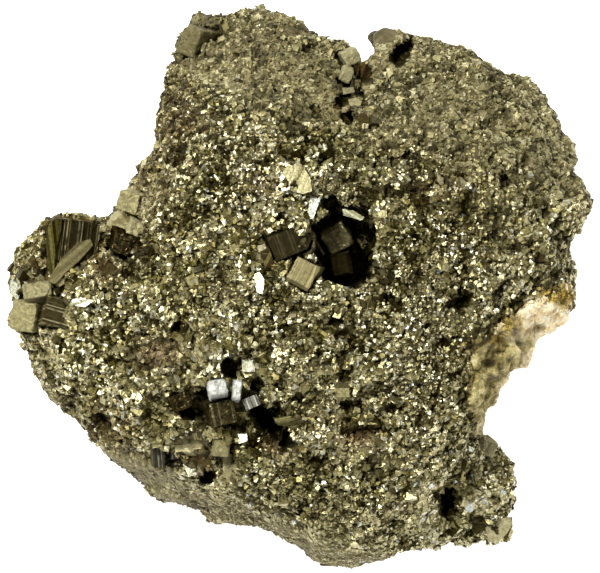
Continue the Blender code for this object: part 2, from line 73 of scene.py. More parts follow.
def facets(points, size, seed):
    """Height of a surface broken into flat tilted facets about size across, -1 to 1."""
    home = np.floor(points / size).astype(np.int64)
    best = np.full(len(points), 1e9)
    value = np.zeros(len(points))
    for i in (-1, 0, 1):
        for j in (-1, 0, 1):
            for k in (-1, 0, 1):
                cell = home + np.array((i, j, k))
                away = points - (cell + hashed(cell, seed)) * size
                dist = (away**2).sum(axis=1)
                tilt = hashed(cell, seed + 57) * 2 - 1
                lift = hashed(cell, seed + 91)[:, 0] * 2 - 1
                here = 0.6 * lift + 0.9 * (away * tilt).sum(axis=1) / size
                nearer = dist < best
                best = np.where(nearer, dist, best)
                value = np.where(nearer, here, value)
    return value


def noise(points, size, seed):
    """Smooth value noise, -1 to 1."""
    q = points / size
    base = np.floor(q).astype(np.int64)
    f = q - base
    f = f * f * (3 - 2 * f)
    total = np.zeros(len(points))
    for i in (0, 1):
        for j in (0, 1):
            for k in (0, 1):
                corner = hashed(base + np.array((i, j, k)), seed)[:, 0] * 2 - 1
                total += corner * (
                    (f[:, 0] if i else 1 - f[:, 0])
                    * (f[:, 1] if j else 1 - f[:, 1])
                    * (f[:, 2] if k else 1 - f[:, 2])
                )
    return total


def blobs(p, spots):
    """Sum of soft ellipses in the plan: (u, v, ru, rv, strength)."""
    u, v = plan_of(p)
    total = np.zeros(len(p))
    for cu, cv, ru, rv, s in spots:
        d = ((u - cu) / ru) ** 2 + ((v - cv) / rv) ** 2
        total += s * np.exp(-d * 0.9)
    return total


class Relief:
    """Top heights of the rock on a plan grid, mm."""

    def __init__(self, p, cell=0.45):
        self.cell, self.low = cell, p[:, :2].min(axis=0) - 4.0
        shape = np.ceil((p[:, :2].max(axis=0) + 4.0 - self.low) / cell).astype(int) + 1
        grid = np.full(shape, -5.0)
        at = ((p[:, :2] - self.low) / cell).astype(int)
        np.maximum.at(grid, (at[:, 0], at[:, 1]), p[:, 2])
        around = np.maximum.reduce([np.roll(grid, d, axis=a) for d in (-1, 1) for a in (0, 1)])
        self.grid = np.where(grid < 0, around, grid)

    def at(self, q):
        k = ((q - self.low) / self.cell).astype(int)
        k = np.clip(k, 0, np.array(self.grid.shape) - 1)
        return self.grid[k[:, 0], k[:, 1]]

    def valley(self, p, reach):
        """How far points lie below the rock on both sides, mean over four directions."""
        total = np.zeros(len(p))
        for angle in (0, 45, 90, 135):
            d = np.array((math.cos(math.radians(angle)), math.sin(math.radians(angle)))) * reach
            rise = np.minimum(self.at(p[:, :2] + d), self.at(p[:, :2] - d)) - p[:, 2]
            total += np.clip(rise, 0, 2.5)
        total[self.at(p[:, :2]) - p[:, 2] > 2.0] = 0.0
        return total / 4

    def hollow_shade(self, p):
        """0 on open ground to 1 at the bottom of clefts and pits: how strongly painted shade darkens the colour there.
        """
        return np.clip(0.9 * self.valley(p, 0.9) + 0.60 * self.valley(p, 2.3), 0, 1)


# ------------------------------------------------------------------ mesh helpers
def link(name, mesh):
    obj = bpy.data.objects.new(name, mesh)
    bpy.context.scene.collection.objects.link(obj)
    return obj


def settle(obj):
    graph = bpy.context.evaluated_depsgraph_get()
    graph.update()
    done = bpy.data.meshes.new_from_object(obj.evaluated_get(graph))
    obj.modifiers.clear()
    old, obj.data = obj.data, done
    bpy.data.meshes.remove(old)
    return obj


def get_co(mesh):
    co = np.empty(len(mesh.vertices) * 3, np.float32)
    mesh.vertices.foreach_get("co", co)
    return co.reshape(-1, 3).astype(float) / MM


def set_co(mesh, p):
    mesh.vertices.foreach_set("co", (p * MM).astype(np.float32).ravel())
    mesh.update()


def get_no(mesh):
    n = np.empty(len(mesh.vertices) * 3, np.float32)
    mesh.vertices.foreach_get("normal", n)
    return n.reshape(-1, 3).astype(float)


def attribute(mesh, name, values):
    a = mesh.attributes.new(name, "FLOAT", "POINT")
    a.data.foreach_set("value", np.asarray(values, np.float32))


def remesh(obj, size_mm):
    step = obj.modifiers.new("skin", "REMESH")
    step.mode = "VOXEL"
    step.voxel_size = size_mm * MM
    return settle(obj)


def decimate(obj, ratio):
    step = obj.modifiers.new("fewer", "DECIMATE")
    step.ratio = ratio
    return settle(obj)


def flat_mesh(name, verts, loops, totals):
    """A flat-shaded mesh from arrays."""
    mesh = bpy.data.meshes.new(name)
    mesh.vertices.add(len(verts))
    mesh.vertices.foreach_set("co", (verts * MM).astype(np.float32).ravel())
    mesh.loops.add(len(loops))
    mesh.loops.foreach_set("vertex_index", loops.astype(np.int32))
    starts = np.concatenate([[0], np.cumsum(totals)[:-1]]).astype(np.int32)
    mesh.polygons.add(len(totals))
    mesh.polygons.foreach_set("loop_start", starts)
    mesh.update(calc_edges=True)
    mesh.shade_flat()
    return mesh


# ------------------------------------------------------------------ node helpers
class Nodes:
    def __init__(self, name):
        self.material = bpy.data.materials.new(name)
        self.material.use_nodes = True
        self.tree = self.material.node_tree
        self.shader = self.tree.nodes["Principled BSDF"]

    def add(self, kind, **values):
        node = self.tree.nodes.new(kind)
        for key, value in values.items():
            setattr(node, key, value)
        return node

    def wire(self, source, target):
        self.tree.links.new(source, target)

    def value(self, name):
        return self.add("ShaderNodeAttribute", attribute_name=name).outputs["Fac"]

    def math(self, kind, a, b=None, clamp=False):
        node = self.add("ShaderNodeMath", operation=kind, use_clamp=clamp)
        for socket, x in zip(node.inputs, (a, b)):
            if x is None:
                continue
            if isinstance(x, (int, float)):
                socket.default_value = x
            else:
                self.wire(x, socket)
        return node.outputs[0]

    def ramp(self, source, stops, interpolation="LINEAR"):
        node = self.add("ShaderNodeValToRGB")
        node.color_ramp.interpolation = interpolation
        elements = node.color_ramp.elements
        while len(elements) > 1:
            elements.remove(elements[-1])
        for k, (at, colour) in enumerate(stops):
            element = elements[0] if k == 0 else elements.new(at)
            element.position = at
            c = colour if isinstance(colour, tuple) else (colour,) * 3
            element.color = (*c, 1.0)
        self.wire(source, node.inputs["Fac"])
        return node.outputs["Color"]

    def mix(self, fac, a, b, kind="MIX"):
        node = self.add("ShaderNodeMix", data_type="RGBA", blend_type=kind)
        sockets = [s for s in node.inputs if s.enabled]
        for socket, x in zip(sockets, (fac, a, b)):
            if isinstance(x, (int, float)):
                socket.default_value = x
            elif isinstance(x, tuple):
                socket.default_value = (*x, 1.0)
            else:
                self.wire(x, socket)
        return [s for s in node.outputs if s.enabled][0]

    def place(self):
        return self.add("ShaderNodeTexCoord").outputs["Object"]

    def noise(self, scale, detail=3.0, rough=0.55):
        node = self.add("ShaderNodeTexNoise")
        node.inputs["Scale"].default_value = scale
        node.inputs["Detail"].default_value = detail
        node.inputs["Roughness"].default_value = rough
        self.wire(self.place(), node.inputs["Vector"])
        return node.outputs["Fac"]

    def lines(self, across, scale, low, high):
        """Thin bright lines along one direction: 1 on a line."""
        node = self.add("ShaderNodeTexNoise", noise_dimensions="1D")
        node.inputs["Scale"].default_value = scale
        node.inputs["Detail"].default_value = 2.0
        self.wire(across, node.inputs["W"])
        return self.ramp(node.outputs["Fac"], [(low, 0.0), (high, 1.0)])

    def bump(self, height, strength, distance):
        node = self.add("ShaderNodeBump")
        node.inputs["Strength"].default_value = strength
        node.inputs["Distance"].default_value = distance
        self.wire(height, node.inputs["Height"])
        self.wire(node.outputs["Normal"], self.shader.inputs["Normal"])


# ------------------------------------------------------------------ materials
def grain_material():
    n = Nodes("pyrite_grains")
    tone, tint, dull = n.value("tone"), n.value("tint"), n.value("dull")
    colour = n.ramp(tint, [
        (0.00, (0.28, 0.235, 0.12)), (0.12, (0.47, 0.42, 0.215)), (0.40, (0.60, 0.55, 0.32)),
        (0.70, (0.70, 0.66, 0.46)), (0.84, (0.76, 0.735, 0.60)), (0.93, (0.62, 0.64, 0.60)),
        (1.00, (0.68, 0.72, 0.73)),
    ])
    # the tone attribute scales the grain colour: the grains' own tone, plus painted shade in hollows and crevices and
    # painted light on the lower rim and on grains that catch the lamp
    shade = n.ramp(tone, [(0.0, (0.055, 0.047, 0.008)), (0.3, (0.43, 0.41, 0.25)), (0.7, (0.88, 0.88, 0.80)), (1.0, 1.0)])
    colour = n.mix(1.0, colour, shade, "MULTIPLY")
    stain = n.ramp(n.noise(2600.0, 4.0, 0.6), [(0.30, (0.22, 0.20, 0.13)), (0.58, (1.0, 1.0, 1.0))])
    colour = n.mix(0.85, colour, stain, "MULTIPLY")
    # dull grains turn tan: partly dust, partly a painted sheen on slopes that face away
    dust_and_sheen_colour = n.ramp(n.noise(1900.0, 6.0, 0.7), [
        (0.30, (0.13, 0.11, 0.045)), (0.5, (0.29, 0.255, 0.12)), (0.72, (0.48, 0.44, 0.265))])
    dust_and_sheen_colour = n.mix(0.75, dust_and_sheen_colour, shade, "MULTIPLY")
    colour = n.mix(dull, colour, dust_and_sheen_colour)
    rusty = n.ramp(n.noise(1800.0, 4.0, 0.6), [(0.3, (0.11, 0.06, 0.025)), (0.7, (0.30, 0.19, 0.09))])
    colour = n.mix(n.math("MULTIPLY", n.value("rust"), 0.7), colour, rusty)
    n.wire(colour, n.shader.inputs["Base Color"])
    n.wire(n.ramp(dull, [(0.0, 1.0), (1.0, 0.4)]), n.shader.inputs["Metallic"])
    rough = n.ramp(tone, [(0.0, 0.55), (0.5, 0.48), (1.0, 0.34)])
    n.wire(n.mix(dull, rough, (0.56, 0.56, 0.56)), n.shader.inputs["Roughness"])
    n.bump(n.noise(4200.0, 3.0, 0.65), 0.8, 0.00011)
    return n.material


def ground_material():
    n = Nodes("pyrite_groundmass")
    dull = n.value("dull")
    # groundmass showing between the grains is near black: partly tarnish, partly painted shade in the gaps between
    # grains
    colour = n.ramp(n.noise(1900.0, 6.0, 0.7), [
        (0.28, (0.02, 0.016, 0.008)), (0.5, (0.08, 0.066, 0.032)), (0.72, (0.22, 0.19, 0.10))])
    # dull groundmass turns tan: partly dust, partly painted sheen
    dust_and_sheen_colour = n.ramp(n.noise(1100.0, 6.0, 0.65), [
        (0.3, (0.10, 0.08, 0.04)), (0.55, (0.22, 0.19, 0.10)), (0.75, (0.36, 0.32, 0.20))])
    # painted shade: mixed to near black in clefts, pits and on the notch lip
    n.wire(n.mix(n.value("hollow_shade"), n.mix(dull, colour, dust_and_sheen_colour), (0.036, 0.030, 0.010)), n.shader.inputs["Base Color"])
    n.wire(n.ramp(dull, [(0.0, 0.9), (1.0, 0.3)]), n.shader.inputs["Metallic"])
    n.wire(n.ramp(n.noise(2500.0, 3.0), [(0.3, 0.35), (0.7, 0.6)]), n.shader.inputs["Roughness"])
    n.shader.inputs["Specular Tint"].default_value = (0.30, 0.26, 0.15, 1)
    n.shader.inputs["Specular IOR Level"].default_value = 0.3
    n.bump(n.noise(3000.0, 5.0, 0.7), 0.6, 0.0001)
    return n.material


def crystal_material():
    n = Nodes("pyrite_crystal")
    tone, tint, dull = n.value("tone"), n.value("tint"), n.value("dull")
    colour = n.ramp(tone, [(0.0, (0.05, 0.038, 0.014)), (0.3, (0.22, 0.18, 0.075)),
                           (0.6, (0.44, 0.39, 0.20)), (1.0, (0.62, 0.58, 0.34))])
    pale = n.ramp(tone, [(0.0, (0.20, 0.21, 0.19)), (0.6, (0.52, 0.53, 0.47)), (1.0, (0.78, 0.80, 0.75))])
    colour = n.mix(tint, colour, pale)
    colour = n.mix(1.0, colour, n.ramp(n.noise(1200.0, 5.0, 0.65), [(0.30, 0.50), (0.62, 1.0)]), "MULTIPLY")
    # dull crystals turn tan or chalky: partly dust, partly painted sheen
    dust_and_sheen_colour = n.ramp(n.noise(1500.0, 6.0, 0.7), [
        (0.3, (0.13, 0.11, 0.05)), (0.52, (0.27, 0.24, 0.115)), (0.75, (0.38, 0.345, 0.20))])
    dust_and_sheen_colour = n.mix(1.0, dust_and_sheen_colour, n.ramp(tone, [(0.0, 0.35), (0.4, 0.62), (0.9, 1.0)]), "MULTIPLY")
    chalky = n.ramp(n.noise(1300.0, 5.0, 0.7), [(0.34, (0.04, 0.038, 0.03)), (0.42, (0.30, 0.305, 0.27)), (0.7, (0.46, 0.465, 0.43))])
    dust_and_sheen_colour = n.mix(n.ramp(tint, [(0.55, 0.0), (0.85, 1.0)]), dust_and_sheen_colour, chalky)
    colour = n.mix(dull, colour, dust_and_sheen_colour)
    # painted highlight: lighter colour along the growth lines, standing for light caught on the step edges; the steps
    # themselves are real geometry
    line = n.mix(1.0, n.lines(n.value("across"), 2.3, 0.565, 0.615), n.ramp(n.noise(900.0, 3.0), [(0.35, 0.15), (0.55, 1.0)]), "MULTIPLY")
    line = n.math("MULTIPLY", line, n.value("lined"))
    colour = n.mix(line, colour, n.mix(tint, (0.40, 0.36, 0.21), (0.60, 0.61, 0.56)))
    n.wire(colour, n.shader.inputs["Base Color"])
    n.wire(n.ramp(dull, [(0.0, 1.0), (1.0, 0.2)]), n.shader.inputs["Metallic"])
    rough = n.ramp(n.noise(2200.0, 4.0), [(0.3, 0.26), (0.7, 0.44)])
    rough = n.mix(dull, rough, (0.6, 0.6, 0.6))
    n.shader.inputs["Specular Tint"].default_value = (0.22, 0.19, 0.12, 1)
    n.wire(n.mix(line, rough, (0.5, 0.5, 0.5)), n.shader.inputs["Roughness"])
    n.bump(n.noise(3000.0, 4.0, 0.6), 0.5, 0.00006)
    return n.material


def quartz_material():
    n = Nodes("iron_stained_quartz")
    stain, olive, dark = n.value("stain"), n.value("olive"), n.value("dark")
    cream = n.ramp(n.noise(600.0, 7.0, 0.68), [
        (0.30, (0.58, 0.40, 0.16)), (0.46, (0.84, 0.69, 0.42)), (0.60, (0.95, 0.88, 0.68))])
    ochre = n.ramp(n.noise(900.0, 6.0, 0.68), [
        (0.36, (0.07, 0.042, 0.005)), (0.48, (0.30, 0.205, 0.028)), (0.66, (0.76, 0.57, 0.16))])
    green = n.ramp(n.noise(420.0, 9.0, 0.75), [
        (0.38, (0.075, 0.058, 0.014)), (0.47, (0.25, 0.20, 0.062)), (0.55, (0.45, 0.385, 0.165)), (0.68, (0.76, 0.70, 0.46))])
    colour = n.mix(olive, cream, green)
    colour = n.mix(stain, colour, ochre)
    # dark colour on the seam: painted shade in its clefts, pits and veins, and dark patches
    cleft_shade_and_grime = n.ramp(n.noise(1400.0, 5.0, 0.7), [(0.35, (0.02, 0.014, 0.004)), (0.65, (0.13, 0.095, 0.03))])
    colour = n.mix(dark, colour, cleft_shade_and_grime)
    n.wire(colour, n.shader.inputs["Base Color"])
    n.wire(n.ramp(n.noise(2000.0, 3.0), [(0.3, 0.45), (0.7, 0.75)]), n.shader.inputs["Roughness"])
    n.shader.inputs["Specular IOR Level"].default_value = 0.3
    n.bump(n.noise(2200.0, 6.0, 0.72), 1.0, 0.00022)
    return n.material


# ------------------------------------------------------------------ where the surface is dull, stained or pitted, and where light and shade are painted
RIDGE = ((120, 40), (170, 72), (205, 92), (290, 122), (350, 134), (430, 158), (500, 188), (600, 206))
LOW_RIM = ((0, 330), (40, 372), (90, 436), (150, 452), (230, 492), (300, 522), (400, 548), (470, 575))
DULL_PLACES = [      # (u, v, ru, rv, strength): dull, tan places, partly dust and partly painted sheen; negative where it is fresh
    (196, 40, 18, 26, 0.5), (150, 472, 60, 30, 0.35), (132, 208, 22, 20, 0.6), (30, 318, 20, 24, 0.4),
    (300, 170, 24, 20, -0.3), (92, 385, 34, 34, -0.2), (190, 442, 26, 14, 0.6), (160, 352, 22, 14, 0.5),
    (560, 150, 24, 40, 0.2), (505, 205, 30, 16, 0.25), (360, 440, 18, 9, 0.3), (232, 470, 14, 20, 0.5),
    (410, 110, 60, 26, 0.15), (330, 90, 30, 20, 0.25), (272, 60, 44, 30, 0.15),
]
RUST = [      # (u, v, ru, rv, strength): brown and red-brown staining
    (160, 352, 26, 14, 0.8), (360, 437, 16, 8, 1.0), (278, 444, 14, 12, 0.7), (205, 462, 12, 16, 0.5),
    (268, 185, 14, 12, 0.5), (60, 255, 30, 30, 0.3), (110, 270, 16, 12, 0.6), (180, 120, 26, 30, 0.35),
    (150, 180, 20, 50, 0.25), (112, 425, 30, 22, 0.35), (430, 190, 26, 16, 0.25), (480, 352, 24, 16, 0.3),
]
TONES = [      # (u, v, ru, rv, strength): brighter and darker places on the face, partly the stone's own tone, partly painted light and painted shade
    (295, 180, 18, 16, 0.45), (258, 275, 8, 14, 0.3), (225, 250, 40, 60, 0.12), (200, 320, 50, 30, 0.1),
    (180, 110, 34, 40, -0.25), (304, 145, 16, 28, -0.35), (362, 178, 34, 26, -0.12), (222, 131, 18, 12, -0.3),
    (400, 310, 60, 40, 0.05), (420, 460, 50, 60, 0.14), (130, 255, 26, 14, -0.4), (178, 327, 9, 10, -0.5),
    (383, 405, 40, 26, -0.2), (225, 420, 50, 40, -0.15), (262, 425, 22, 18, -0.4), (470, 250, 60, 40, -0.05),
    (450, 430, 130, 120, 0.17), (300, 545, 190, 46, 0.32), (420, 245, 60, 60, 0.12), (350, 96, 60, 44, -0.14),
    (262, 205, 36, 36, 0.24), (412, 290, 36, 60, 0.15), (412, 370, 30, 36, 0.08), (190, 120, 30, 30, -0.12),
    (185, 290, 36, 36, -0.12), (480, 450, 36, 40, 0.12), (110, 205, 30, 36, -0.1), (262, 450, 30, 30, 0.1), (545, 250, 50, 44, 0.28), (205, 414, 36, 16, -0.45), (202, 464, 16, 18, -0.5), (500, 240, 50, 40, 0.08),
    (555, 200, 30, 26, 0.2), (480, 470, 30, 60, 0.12), (392, 120, 60, 14, -0.1), (458, 302, 12, 10, -0.4), (70, 240, 34, 22, -0.3), (110, 272, 14, 10, -0.4), (100, 372, 20, 28, 0.25),
]
GLINTS = [     # (u, v, ru, rv, share): grains lying so that their faces catch the light; their colour is also made lighter there, a painted highlight
    (296, 180, 15, 14, 0.9), (259, 284, 7, 12, 0.9), (84, 302, 11, 6, 0.9), (101, 360, 12, 9, 0.6),
    (107, 385, 9, 14, 0.6), (218, 389, 10, 8, 0.8), (352, 215, 11, 5, 0.8), (287, 364, 7, 10, 0.7),
    (316, 434, 8, 8, 0.6), (318, 178, 3, 6, 0.6), (210, 114, 6, 5, 0.7), (196, 138, 9, 3, 0.7),
    (509, 105, 3, 3, 0.9), (258, 208, 26, 28, 0.22), (200, 265, 12, 10, 0.3), (150, 300, 12, 10, 0.3),
    (440, 440, 26, 30, 0.16), (390, 330, 60, 40, 0.10), (240, 160, 40, 30, 0.16), (480, 500, 22, 26, 0.2),
]


COARSE = [     # (u, v, ru, rv, strength): blocky grain; negative where it is fine
    (225, 410, 46, 48, 0.9), (190, 455, 40, 26, 0.7), (50, 285, 34, 50, 0.7), (130, 215, 26, 26, 0.5),
    (345, 95, 30, 26, 0.6), (275, 255, 30, 26, 0.5), (370, 425, 30, 16, 0.4), (470, 505, 36, 40, 0.45),
    (352, 178, 44, 30, -0.35), (450, 250, 70, 50, -0.2), (440, 400, 50, 50, -0.15), (240, 150, 40, 36, -0.1),
    (570, 215, 24, 16, 0.4), (392, 66, 20, 12, 0.3),
]


def smooth(x, lo, hi):
    t = np.clip((x - lo) / (hi - lo), 0, 1)
    return t * t * (3 - 2 * t)


def dust_and_sheen(p, normal):
    """0 fresh to 1 dull and tan: partly dust, partly a painted sheen on the flanks, back, upper bevel and lower rim."""
    u, v = plan_of(p)
    ridge = np.interp(u, *zip(*RIDGE)) - v
    low = v - np.interp(u, *zip(*LOW_RIM))
    w = 0.10 + 0.50 * smooth(ridge, -14, 16) + 0.55 * smooth(low, -14, 22) + blobs(p, DULL_PLACES)
    side = np.clip((0.45 - normal[:, 2]) / 0.5, 0, 1)      # flanks and back: dull and tan by which way they face, a painted sheen
    w = np.maximum(w, (0.46 + 0.22 * noise(p, 7.0, 403)) * side)
    return np.clip(w + 0.20 * noise(p, 5.0, 401) + 0.14 * noise(p, 1.6, 402), 0, 1)


NOTCH = [(330, 32), (347, 42), (357, 52), (361, 62), (367, 56), (376, 49), (371, 43), (366, 36), (370, 29),
         (384, 24), (384, -30), (330, -30)]
HOLES = [      # (u, v, ru, rv, turn deg, depth mm): dark pits, slots and gaps between crystals
    (402, 53, 8, 14, 36, 4.6), (375, 36, 4, 5, 0, 1.4), (360, 94, 8.5, 4.6, 5, 2.8), (342, 102, 10, 7, -30, 2.8),
    (348, 119, 8, 7, 40, 2.8), (348, 84, 6, 4, 0, 2.0), (187, 412, 10, 7, 30, 2.2), (208, 476, 8, 8, 0, 2.6),
    (176, 456, 10, 5, 30, 1.8), (236, 424, 9, 6, 30, 1.9), (364, 73, 9, 9, 30, 2.0), (314, 110, 6, 4.5, 10, 1.2), (361, 157, 3.4, 4, 0, 1.3), (407, 156, 4.5, 4, 0, 1.4), (504, 182, 6, 7, 0, 1.6),
    (461, 302, 6, 6, 0, 1.4), (330, 204, 8, 9, 20, 2.2), (229, 367, 9, 11, 0, 3.2), (262, 414, 8, 14, -40, 3.8),
    (280, 433, 9, 15, -38, 3.6), (219, 459, 3, 7, 0, 1.6), (178, 327, 5, 7, 10, 1.5), (448, 500, 8, 18, 24, 1.9),
    (110, 272, 10, 7, -10, 1.3), (304, 152, 5, 12, 8, 1.2), (315, 110, 3, 3, 0, 0.8), (256, 385, 6, 8, -20, 1.6),
    (203, 418, 6, 4, 20, 1.2), (290, 226, 12, 3, -24, 0.9), (389, 300, 9, 5, 30, 1.0), (332, 322, 8, 5, -20, 0.9),
    (436, 402, 8, 10, 0, 1.1), (150, 330, 6, 9, 30, 1.0), (246, 214, 7, 5, 10, 0.9), (206, 214, 6, 8, -20, 0.9),
    (414, 236, 7, 5, 0, 0.9), (350, 404, 12, 5, -12, 1.6), (392, 408, 12, 5, 10, 1.4), (300, 395, 6, 5, 0, 1.0),
]


def holes(p, least=0.0):
    """Depth of the pits at points, mm: steep walls, fairly flat bottoms."""
    u, v = plan_of(p)
    total = np.zeros(len(p))
    for cu, cv, ru, rv, turn, depth in HOLES:
        if depth < least:
            continue
        c, s = math.cos(math.radians(turn)), math.sin(math.radians(turn))
        a, b = (u - cu) * c + (v - cv) * s, (v - cv) * c - (u - cu) * s
        d = np.sqrt((a / ru) ** 2 + (b / rv) ** 2) / 1.15 + 0.22 * noise(p * (1, 1, 0.2), 0.9, 26)
        total = np.maximum(total, depth * (1 - smooth(d, 0.62, 1.12)))
    return total


def crevices(p):
    """0 to 1 along the winding gaps between clumps of grains."""
    q = p + 0.5 * np.stack([noise(p, 1.4, 91), noise(p, 1.4, 92), noise(p, 1.4, 93)], 1)
    fine = 1 - smooth(np.abs(noise(q, 2.1, 94)), 0.02, 0.13)
    wide = 1 - smooth(np.abs(noise(q, 4.6, 95)), 0.01, 0.07)
    return np.maximum(fine * 0.8, wide)


# ------------------------------------------------------------------ skin
def lip_of_notch(p):
    """1 on the smooth lip on the right of the notch, 0 away from it."""
    u, v = plan_of(p)
    return np.clip(1.4 * np.exp(-(((u - 380) / 14) ** 2 + ((v - 33) / 11) ** 2)), 0, 1) * smooth(p[:, 2], 3, 8)


def make_skin():
    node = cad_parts["pyrite_mass"]
    skin = link("groundmass", node.data.copy())
    wedge = prism([tuple(x * MM for x in xy(u, v)) for u, v in NOTCH], 0.1, (0, 1, 2))
    step = skin.modifiers.new("notch", "BOOLEAN")
    step.operation, step.solver, step.object = "DIFFERENCE", "EXACT", wedge
    settle(skin)
    bpy.data.objects.remove(wedge)
    remesh(skin, 0.42)
    p, n = get_co(skin.data), get_no(skin.data)
    move = 0.45 * facets(p, 8.0, 20) + 0.72 * facets(p, 4.6, 21) + 0.55 * facets(p, 2.2, 22) + 0.24 * facets(p, 1.1, 23)
    move -= 1.5 * np.clip(noise(p, 1.9, 24) - 0.38, 0, 0.6) + 1.3 * np.clip(noise(p, 3.4, 25) - 0.42, 0, 0.6)
    move -= 0.42 * crevices(p)
    keep = np.clip(p[:, 2] / 1.2, 0.0, 1.0)
    u, v = plan_of(p)
    notch = np.clip(1.5 * np.exp(-(((u - 370) / 17) ** 2 + ((v - 42) / 18) ** 2))
                    + 1.3 * np.exp(-(((u - 392) / 22) ** 2 + ((v - 28) / 10) ** 2)), 0, 1)
    strip = smooth(v - np.interp(u, *zip(*LOW_RIM)), -4, 18)
    move = move * (1 - 0.6 * strip)
    flank = np.clip((0.5 - n[:, 2]) / 0.5, 0, 1)
    calm = (0.15 + 0.85 * keep) * (1 - notch) * (1 - 0.50 * flank)
    tip = lip_of_notch(p)
    p = p + n * (move * calm - 0.20 - 0.04 * flank - 0.25 * notch * (1 - tip) + 0.50 * tip)[:, None]
    p[:, 2] -= holes(p) * (n[:, 2] > 0.2)
    p[:, 2] = np.maximum(p[:, 2], 0.12)
    set_co(skin.data, p)
    bm = bmesh.new()
    bm.from_mesh(skin.data)
    bm.verts.ensure_lookup_table()
    even = [bm.verts[k] for k in np.flatnonzero(lip_of_notch(p) > 0.5)]
    for _ in range(7):
        bmesh.ops.smooth_vert(bm, verts=even, factor=0.5, use_axis_x=True, use_axis_y=True, use_axis_z=True)
    bm.to_mesh(skin.data)
    bm.free()
    return skin


# ------------------------------------------------------------------ grains
def polyhedra():
    """Closed convex crystal shapes about 1 across: (vertices, faces)."""
    shapes = []
    cube = np.array([(x, y, z) for x in (-.5, .5) for y in (-.5, .5) for z in (-.5, .5)])
    cube_faces = [(0, 1, 3, 2), (4, 6, 7, 5), (0, 4, 5, 1), (2, 3, 7, 6), (0, 2, 6, 4), (1, 5, 7, 3)]
    shapes.append((cube, cube_faces))
    # cube with one corner cut away
    t = 0.62
    v = np.vstack([cube[:7], [(.5 - t, .5, .5), (.5, .5 - t, .5), (.5, .5, .5 - t)]])
    shapes.append((v, [(0, 1, 3, 2), (4, 6, 9, 8, 5), (0, 4, 5, 1), (2, 3, 7, 9, 6), (0, 2, 6, 4),
                       (1, 5, 8, 7, 3), (7, 8, 9)]))
    octa = np.array([(.66, 0, 0), (-.66, 0, 0), (0, .66, 0), (0, -.66, 0), (0, 0, .66), (0, 0, -.66)])
    shapes.append((octa, [(0, 2, 4), (2, 1, 4), (1, 3, 4), (3, 0, 4), (2, 0, 5), (1, 2, 5),
                          (3, 1, 5), (0, 3, 5)]))
    wedge = np.array([(-.5, -.45, -.5), (.5, -.45, -.5), (0.1, .5, -.5),
                      (-.5, -.45, .5), (.5, -.45, .5), (0.1, .5, .5)])
    shapes.append((wedge, [(0, 2, 1), (3, 4, 5), (0, 1, 4, 3), (1, 2, 5, 4), (2, 0, 3, 5)]))
    return shapes


def turned(q):
    """Rotation matrices from quaternions."""
    q = q / np.linalg.norm(q, axis=1)[:, None]
    w, x, y, z = q.T
    return np.stack([
        np.stack([1 - 2 * (y * y + z * z), 2 * (x * y - z * w), 2 * (x * z + y * w)], 1),
        np.stack([2 * (x * y + z * w), 1 - 2 * (x * x + z * z), 2 * (y * z - x * w)], 1),
        np.stack([2 * (x * z - y * w), 2 * (y * z + x * w), 1 - 2 * (x * x + y * y)], 1),
    ], 1)


def facing(normals, rng):
    """Rotations that turn local +Z to the given normals with any spin."""
    n = normals / np.linalg.norm(normals, axis=1)[:, None]
    other = rng.normal(size=n.shape)
    x = np.cross(other, n)
    x /= np.linalg.norm(x, axis=1)[:, None]
    y = np.cross(n, x)
    return np.stack([x, y, n], axis=2)


KEY = np.array((-0.36, 0.40, 0.84))
HALF = KEY / np.linalg.norm(KEY) + (0, 0, 1)
HALF = HALF / np.linalg.norm(HALF)
SHAPES = polyhedra()


def grow(centres, sizes, turns, kinds, values, rng, jitter=0.10):
    """Joins one polyhedron per centre. values: name to one number per grain."""
    verts, loops, totals, owners = [], [], [], []
    offset = 0
    for k, (shape, faces) in enumerate(SHAPES):
        pick = np.flatnonzero(kinds == k)
        if not len(pick):
            continue
        local = shape[None] + rng.normal(0, jitter, (len(pick), len(shape), 3))
        v = np.einsum("nij,nvj->nvi", turns[pick], local * sizes[pick][:, None, :])
        v += centres[pick][:, None, :]
        count = len(shape)
        verts.append(v.reshape(-1, 3))
        pattern = np.concatenate([np.array(f) for f in faces])
        base = offset + np.arange(len(pick)) * count
        loops.append((base[:, None] + pattern[None]).ravel())
        totals.append(np.tile([len(f) for f in faces], len(pick)))
        owners.append(np.repeat(pick, count))
        offset += len(pick) * count
    verts, owners = np.vstack(verts), np.concatenate(owners)
    verts[:, 2] = np.maximum(verts[:, 2], 0.02)
    return verts, np.concatenate(loops), np.concatenate(totals), {
        name: np.asarray(x)[owners] for name, x in values.items()}


def sample(p, spacing, rng):
    """One vertex for each cell of that spacing."""
    cells = np.floor(p / spacing + rng.uniform(0, 1, 3)).astype(np.int64)
    order = rng.permutation(len(p))
    _, first = np.unique(cells[order], axis=0, return_index=True)
    return order[first]


def clear_of(points, bodies):
    """True where a point lies outside all the given crystal boxes (centre, half, matrix)."""
    free = np.ones(len(points), bool)
    for centre, half, turn in bodies:
        local = (points - centre) @ turn
        free &= ~(np.abs(local) < half).all(axis=1)
    return free


